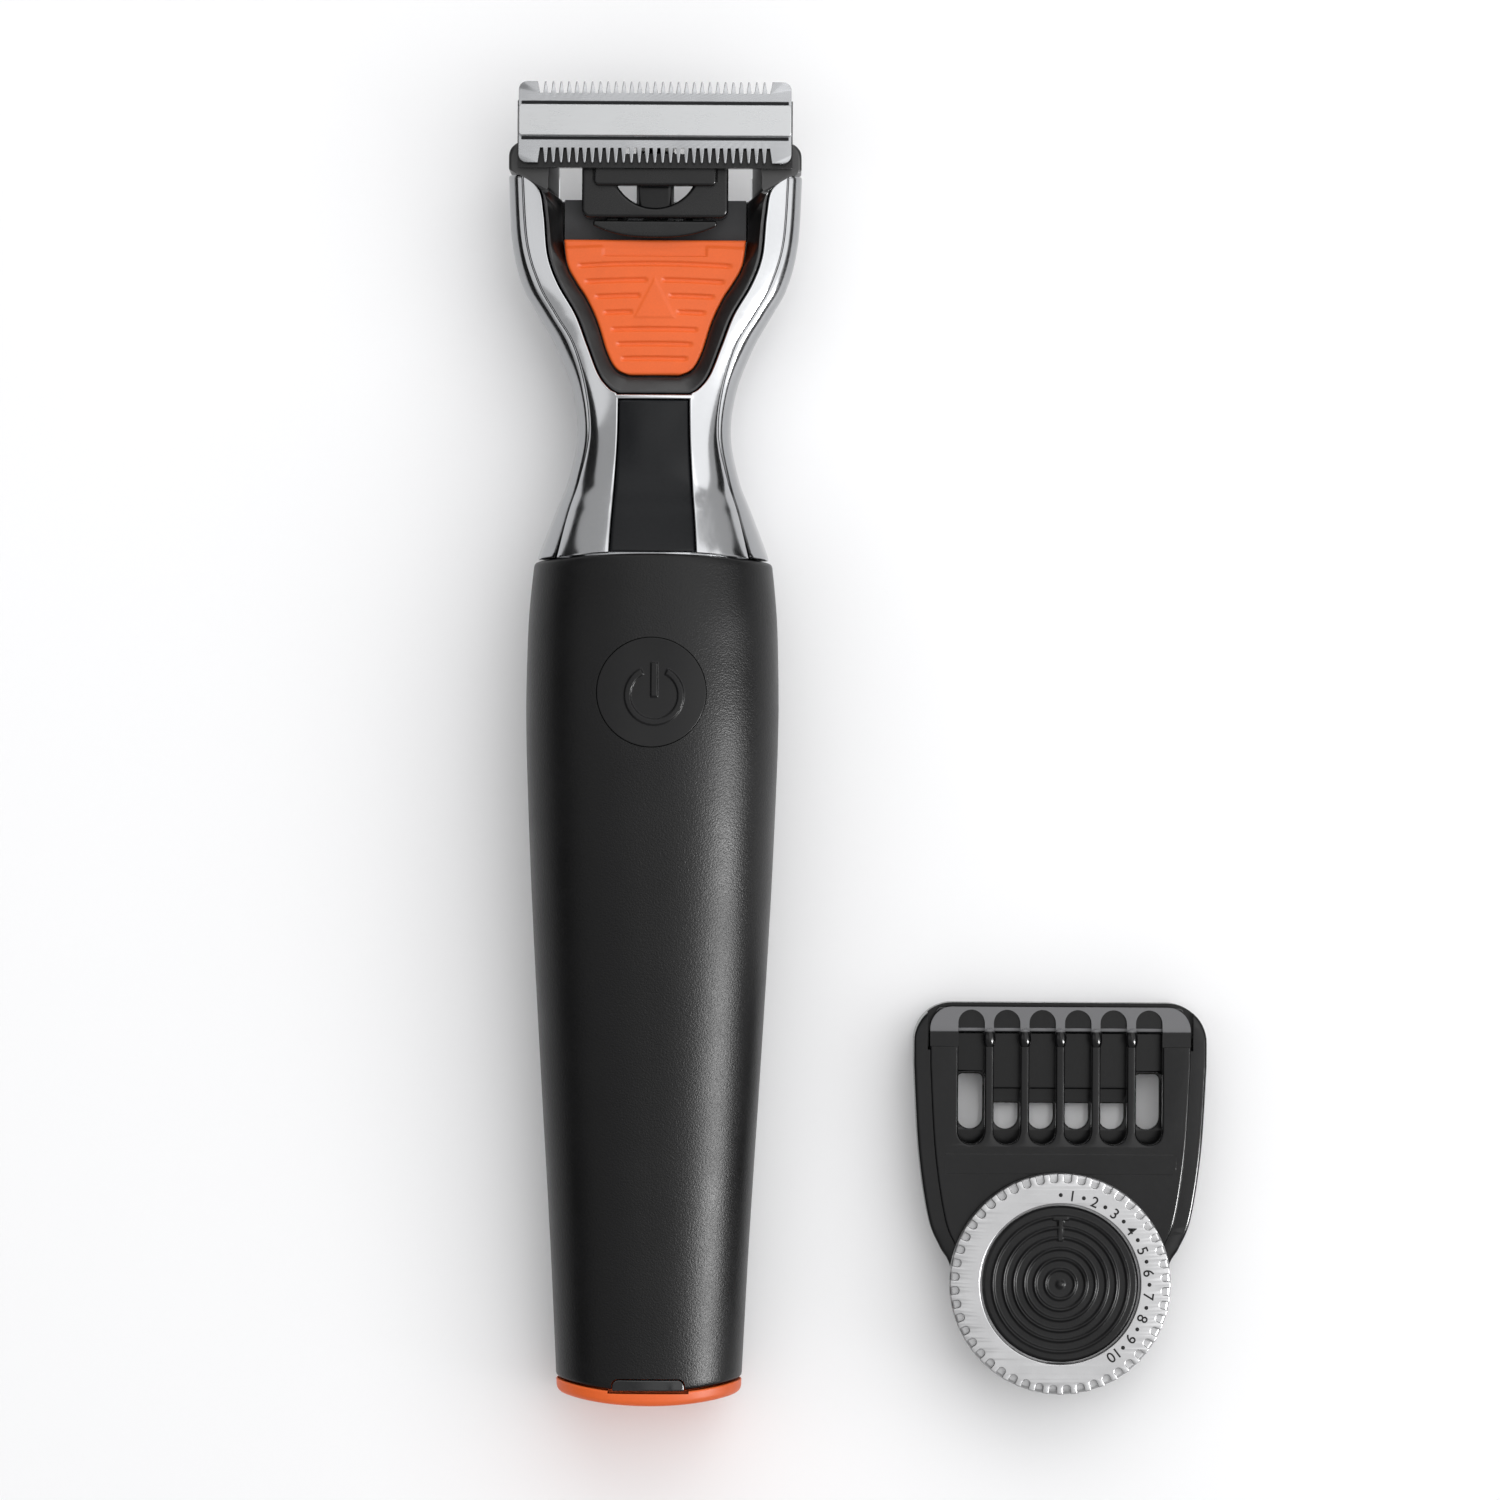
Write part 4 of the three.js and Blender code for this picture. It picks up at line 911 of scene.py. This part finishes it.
def build_comb_guard():
    slots = [slot_loop(slot_x(i), 17.8, 35.2, 1.72) for i in range(SLOTS)]
    guard = plate("visual_comb_guard", [comb_loop(2.1, 35.55), *slots], 7.0, 9.4, 0.3, 3)
    axle = prism("axle", slot_loop(0, -16, 3.4, 2.7), 0, 20)
    wedge_loop = [(32.4, 9.3), (32.4, 8.75), (36.4, 7.3), (37.5, 7.2), (37.5, 12), (32.4, 12)]
    wedge = prism("wedge", wedge_loop, -20, 20)
    step = prism("step", [(30.4, 9.6), (30.5, 9.05), (32.45, 9.05), (32.6, 12), (30.4, 12)], -20, 20)
    turn = Matrix(((0, 0, 1, 0), (1, 0, 0, 0), (0, 1, 0, 0), (0, 0, 0, 1)))
    for tool in (wedge, step):
        tool.data.transform(turn)
    cut(guard, axle, wedge, step)
    bar = plate("bar", [rounded_loop(16.0, 32.6, 35.4, 0.6, 5)], 5.2, 6.9, 0.25, 2)
    link = plate("link", [box_loop(-13.2, 13.2, GUARD_BAR_Y, GUARD_BAR_Y + 0.5)], 6.2, 7.3, 0.15, 2)
    panel = plate("panel", [rounded_loop(15.0, 14.0, 16.6, 0.6, 4, 0.4)], 9.0, 9.44, 0.03, 1)
    join(guard, bar, link, panel, *[rib_bead(slot_x(i + 0.5)) for i in range(SLOTS - 1)])
    dress(at_comb(guard), GUARD_BLACK, "comb_guard", "comb_guard")


# ---------------------------------------------------------------- dial
def notched_loop(radius, notches=48, depth=1.15, half=0.46):
    """A round outline with U-shaped notches."""
    points = []
    step = 2 * math.pi / notches
    foot = radius - depth + half * 0.8
    for k in range(notches):
        turn = (k + 0.5) * step
        c, s = math.cos(turn), math.sin(turn)
        for angle in (-0.5, -0.42):
            points.append((radius * math.cos(turn + angle * step), radius * math.sin(turn + angle * step)))
        mouth = math.sqrt(radius**2 - half**2)
        bottom = [(mouth - 0.02, -half - 0.12), (mouth - 0.12, -half)]
        bottom += [(foot - 0.8 * half * math.sin(a), -half * math.cos(a)) for a in np.linspace(0, math.pi, 9)]
        bottom += [(bottom[1][0], half), (bottom[0][0], half + 0.12)]
        points += [(c * r - s * t, s * r + c * t) for r, t in bottom]
        points.append((radius * math.cos(turn + 0.42 * step), radius * math.sin(turn + 0.42 * step)))
    return np.array(points)


def build_dial():
    ring_loops = [notched_loop(14.25), arc(0, 0, 10.35, 0, 357, 120)]
    ring = plate("visual_comb_dial_ring", ring_loops, 11.4, 12.88, 0.16, 3)
    skirt = plate("skirt", [arc(0, 0, 14.3, 0, 358, 180), arc(0, 0, 10.4, 0, 357, 120)], 9.9, 11.9, 0.45, 3)
    base = plate("base", [arc(0, 0, 10.6, 0, 357, 120), arc(0, 0, 1.1, 0, 350, 36)], 9.9, 11.0, 0.05, 1)
    join(ring, skirt, base)
    dress(at_comb(ring), SATIN_SILVER, "comb_dial", "comb_dial_ring")

    marks = []
    for k in range(10):
        marks.append(dial_number(str(k + 1), math.radians(15 * k + 7.5)))
        turn = math.radians(15 * k)
        dot_loop = arc(11.5 * math.sin(turn), 11.5 * math.cos(turn), 0.26, 0, 340, 18)
        marks.append(plate("dot", [dot_loop], 12.8, 12.92, 0.02, 1))
    numbers = marks[0]
    with bpy.context.temp_override(active_object=numbers, selected_editable_objects=marks):
        bpy.ops.object.join()
    numbers.name = "visual_dial_numbers"
    dress(at_comb(numbers), PRINT_BLACK, "comb_dial")


def dial_number(text, turn):
    curve = bpy.data.curves.new("number_" + text, "FONT")
    curve.body = text
    curve.size = 1.95 * MM
    curve.align_x, curve.align_y = "CENTER", "CENTER"
    curve.extrude = 0.06 * MM
    curve.offset = 0.016 * MM
    holder = add_object("number", curve)
    mesh = evaluated_mesh(holder)
    bpy.data.objects.remove(holder)
    place = Matrix.Translation((11.4 * math.sin(turn) * MM, 11.4 * math.cos(turn) * MM, 12.86 * MM))
    mesh.transform(place @ Matrix.Rotation(-turn, 4, "Z"))
    mesh.materials.clear()
    return finish_object("number_" + text, mesh)


def build_dial_cap():
    top, edge_radius = 12.7, 10.08
    angle = turns(288)
    rings = []
    for radius in np.concatenate([np.linspace(0.04, 9.7, 130), [9.85, 9.97, 10.05, edge_radius]]):
        x, y = radius * np.cos(angle), radius * np.sin(angle)
        z = np.full(len(angle), top)
        for ridge in (8.7, 7.3, 6.0, 4.6, 3.3, 1.9):
            z = np.maximum(z, top + 0.26 * smooth(0.36, 0.0, abs(radius - ridge)))
        z = np.maximum(z, top + 0.3 * smooth(0.75, 0.15, radius))
        mark = smooth(1.1, 0.9, np.abs(x)) * smooth(8.15, 8.3, y) * smooth(8.85, 8.7, y)
        mark = np.maximum(mark, smooth(0.42, 0.26, np.abs(x)) * smooth(5.5, 5.65, y) * smooth(8.6, 8.4, y))
        z = z * (1 - mark) + 13.02 * mark
        z = z - 0.3 * smooth(9.75, edge_radius, radius)
        rings.append(np.stack([x, y, z], 1))
    rings.append(circle(edge_radius, 11.3, angle))
    cap = ring_body("visual_comb_dial_cap", rings)
    cut(cap, rod("axle_hole", 1.1, 11, 12.35, count=48))
    dress(at_comb(cap), DISC_BLACK, "comb", "comb_dial_cap")


# ---------------------------------------------------------------- carried-over nodes
# Each look, and how the names of its nodes begin. The longest beginning that fits is the one used.
CARRIED_LOOKS = [
    (SOFT_BLACK, ("charge_lead", "button_seal")),
    (GLOSS_BLACK, ("comb_rack",)),
    (SATIN_BLACK, ("charging_socket", "drive_lever", "blade_carrier", "tact_switch", "eccentric", "chassis")),
    (DARK_GREY, ("bay_panel",)),
    (SPRING_STEEL, ("cutter_spring", "release_spring")),
    (STEEL, ("pivot_pin", "motor_shaft", "motor_can", "motor_screw", "lever_pivot_pin", "bezel_screw",
             "comb_axle_pin", "battery_contact")),
    (BRASS, ("charging_pin",)),
    (BOARD_GREEN, ("charge_board", "control_board")),
    (CELL_BLUE, ("battery",)),
    (WHITE_PLASTIC, ("motor_end_cap", "cutter_drive_block", "comb_pinion")),
    (CLEAR_WHITE, ("charge_led",)),
    (ORANGE, ("motor_lead",)),
]
ROUNDED = {
    "drive_lever": 0.12, "blade_carrier": 0.25, "bay_panel": 0.12, "charging_socket": 0.2, "chassis": 0.2,
    "cutter_drive_block": 0.15, "tact_switch": 0.15,
}


def round_edges(obj, width):
    bevel = obj.modifiers.new("rounded_edges", "BEVEL")
    bevel.width = width * MM
    bevel.segments = 3
    bevel.limit_method = "ANGLE"
    bevel.angle_limit = math.radians(50)


def finish_carried_nodes():
    looks = {start: look for look, starts in CARRIED_LOOKS for start in starts}
    for name, obj in NODES.items():
        starts = [start for start in looks if name.startswith(start)]
        if not starts:
            continue
        look = looks[max(starts, key=len)]
        if not obj.data.materials:
            obj.data.materials.append(look)
        for slot in obj.material_slots:
            slot.material = look
        obj.data.shade_smooth()
        obj.data.set_sharp_from_angle(angle=math.radians(32))
        if name in ROUNDED:
            round_edges(obj, ROUNDED[name])


# ---------------------------------------------------------------- stage
def board(name, corner, across, up, steps, material):
    """A flat sheet of the studio, in metres."""
    grid = np.linspace(0, 1, steps + 1)
    points = [np.array(corner) + np.array(across) * u + np.array(up) * v for v in grid for u in grid]
    n = steps + 1
    cells = [(r * n + c, (r + 1) * n + c) for r in range(steps) for c in range(steps)]
    mesh = bpy.data.meshes.new(name)
    mesh.from_pydata([tuple(p) for p in points], [], [(a, a + 1, b + 1, b) for a, b in cells])
    mesh.materials.append(material)
    add_object(name, mesh)


def build_floor():
    half, drop = 1.6, 0.00002
    paper = surface("studio_paper", (246, 246, 247), 0.75, grain=(0.5, 0.002), mottle=60, tint=0.004,
                    spread=0.04, wear=0)
    board("studio_floor", (-half, -half, -drop), (2 * half, 0, 0), (0, 2 * half, 0), 60, paper)


def dark_board(name, x, height):
    """A dark board at one side, out of the picture, that the glossy parts mirror."""
    finish = surface(name, (26, 26, 26), 0.6, grain=(1, 0.01), mottle=50, wear=0, specular=0.1)
    board(name, (x, -0.7, 0.0), (0, 1.4, 0), (0, 0, height), 12, finish)


def area_light(name, place, target, size, power):
    light = bpy.data.lights.new(name, "AREA")
    light.shape = "RECTANGLE"
    light.size, light.size_y = size
    light.energy = power
    holder = add_object(name, light)
    holder.location = place
    holder.rotation_euler = (Vector(target) - Vector(place)).to_track_quat("-Z", "Y").to_euler()
    return holder


def build_stage():
    build_floor()
    target = (0.013, 0.024, 0.01)
    sheen = area_light("sheen", (0.60, -0.17, 0.43), (0.01, -0.02, 0.01), (0.10, 0.34), 9.5)
    sheen.visible_diffuse = False
    area_light("key", (0.42, 0.22, 0.72), target, (0.85, 0.85), 2.9)
    area_light("overhead", (0.06, 0.10, 1.45), target, (0.9, 0.9), 1.7)
    area_light("top", (0.05, 0.77, 0.86), target, (0.9, 0.5), 1.7)
    area_light("rim", (0.05, 0.95, 0.42), target, (0.9, 0.1), 1.2)
    area_light("left_fill", (-0.65, 0.1, 0.75), target, (0.3, 0.8), 0.55)
    dark_board("dark_board_left", -0.7, 0.42)
    dark_board("dark_board_right", 0.75, 0.26)
    world = bpy.data.worlds.new("studio")
    world.use_nodes = True
    background = world.node_tree.nodes["Background"]
    background.inputs["Color"].default_value = (1, 1, 1, 1)
    background.inputs["Strength"].default_value = 0.64
    bpy.context.scene.world = world
    bpy.context.scene.view_settings.view_transform = "Standard"

    camera = bpy.data.cameras.new("camera")
    lens, sensor, picture_width, focus_height = 200, 36, 0.19245, 0.018
    camera.lens = lens
    camera.sensor_width = sensor
    camera.clip_end = 10
    holder = add_object("camera", camera)
    holder.location = (0.0126, 0.0243, focus_height + picture_width / sensor * lens)
    holder.rotation_euler = (0, 0, math.radians(0.33))
    bpy.context.scene.camera = holder


def write_sizes():
    bpy.context.view_layer.update()


build_sleeve()
build_power_button()
build_base_cap()
build_charge_window()
build_neck_trim()
build_inlay_strip()
build_neck_shell()
build_bezel()
build_slider()
build_blades()
build_blade_shadow_lines()
build_carrier_skirt()
build_bracket()
build_turret()
build_stem()
build_comb_frame()
build_comb_guard()
build_dial()
build_dial_cap()
finish_carried_nodes()
build_stage()
write_sizes()
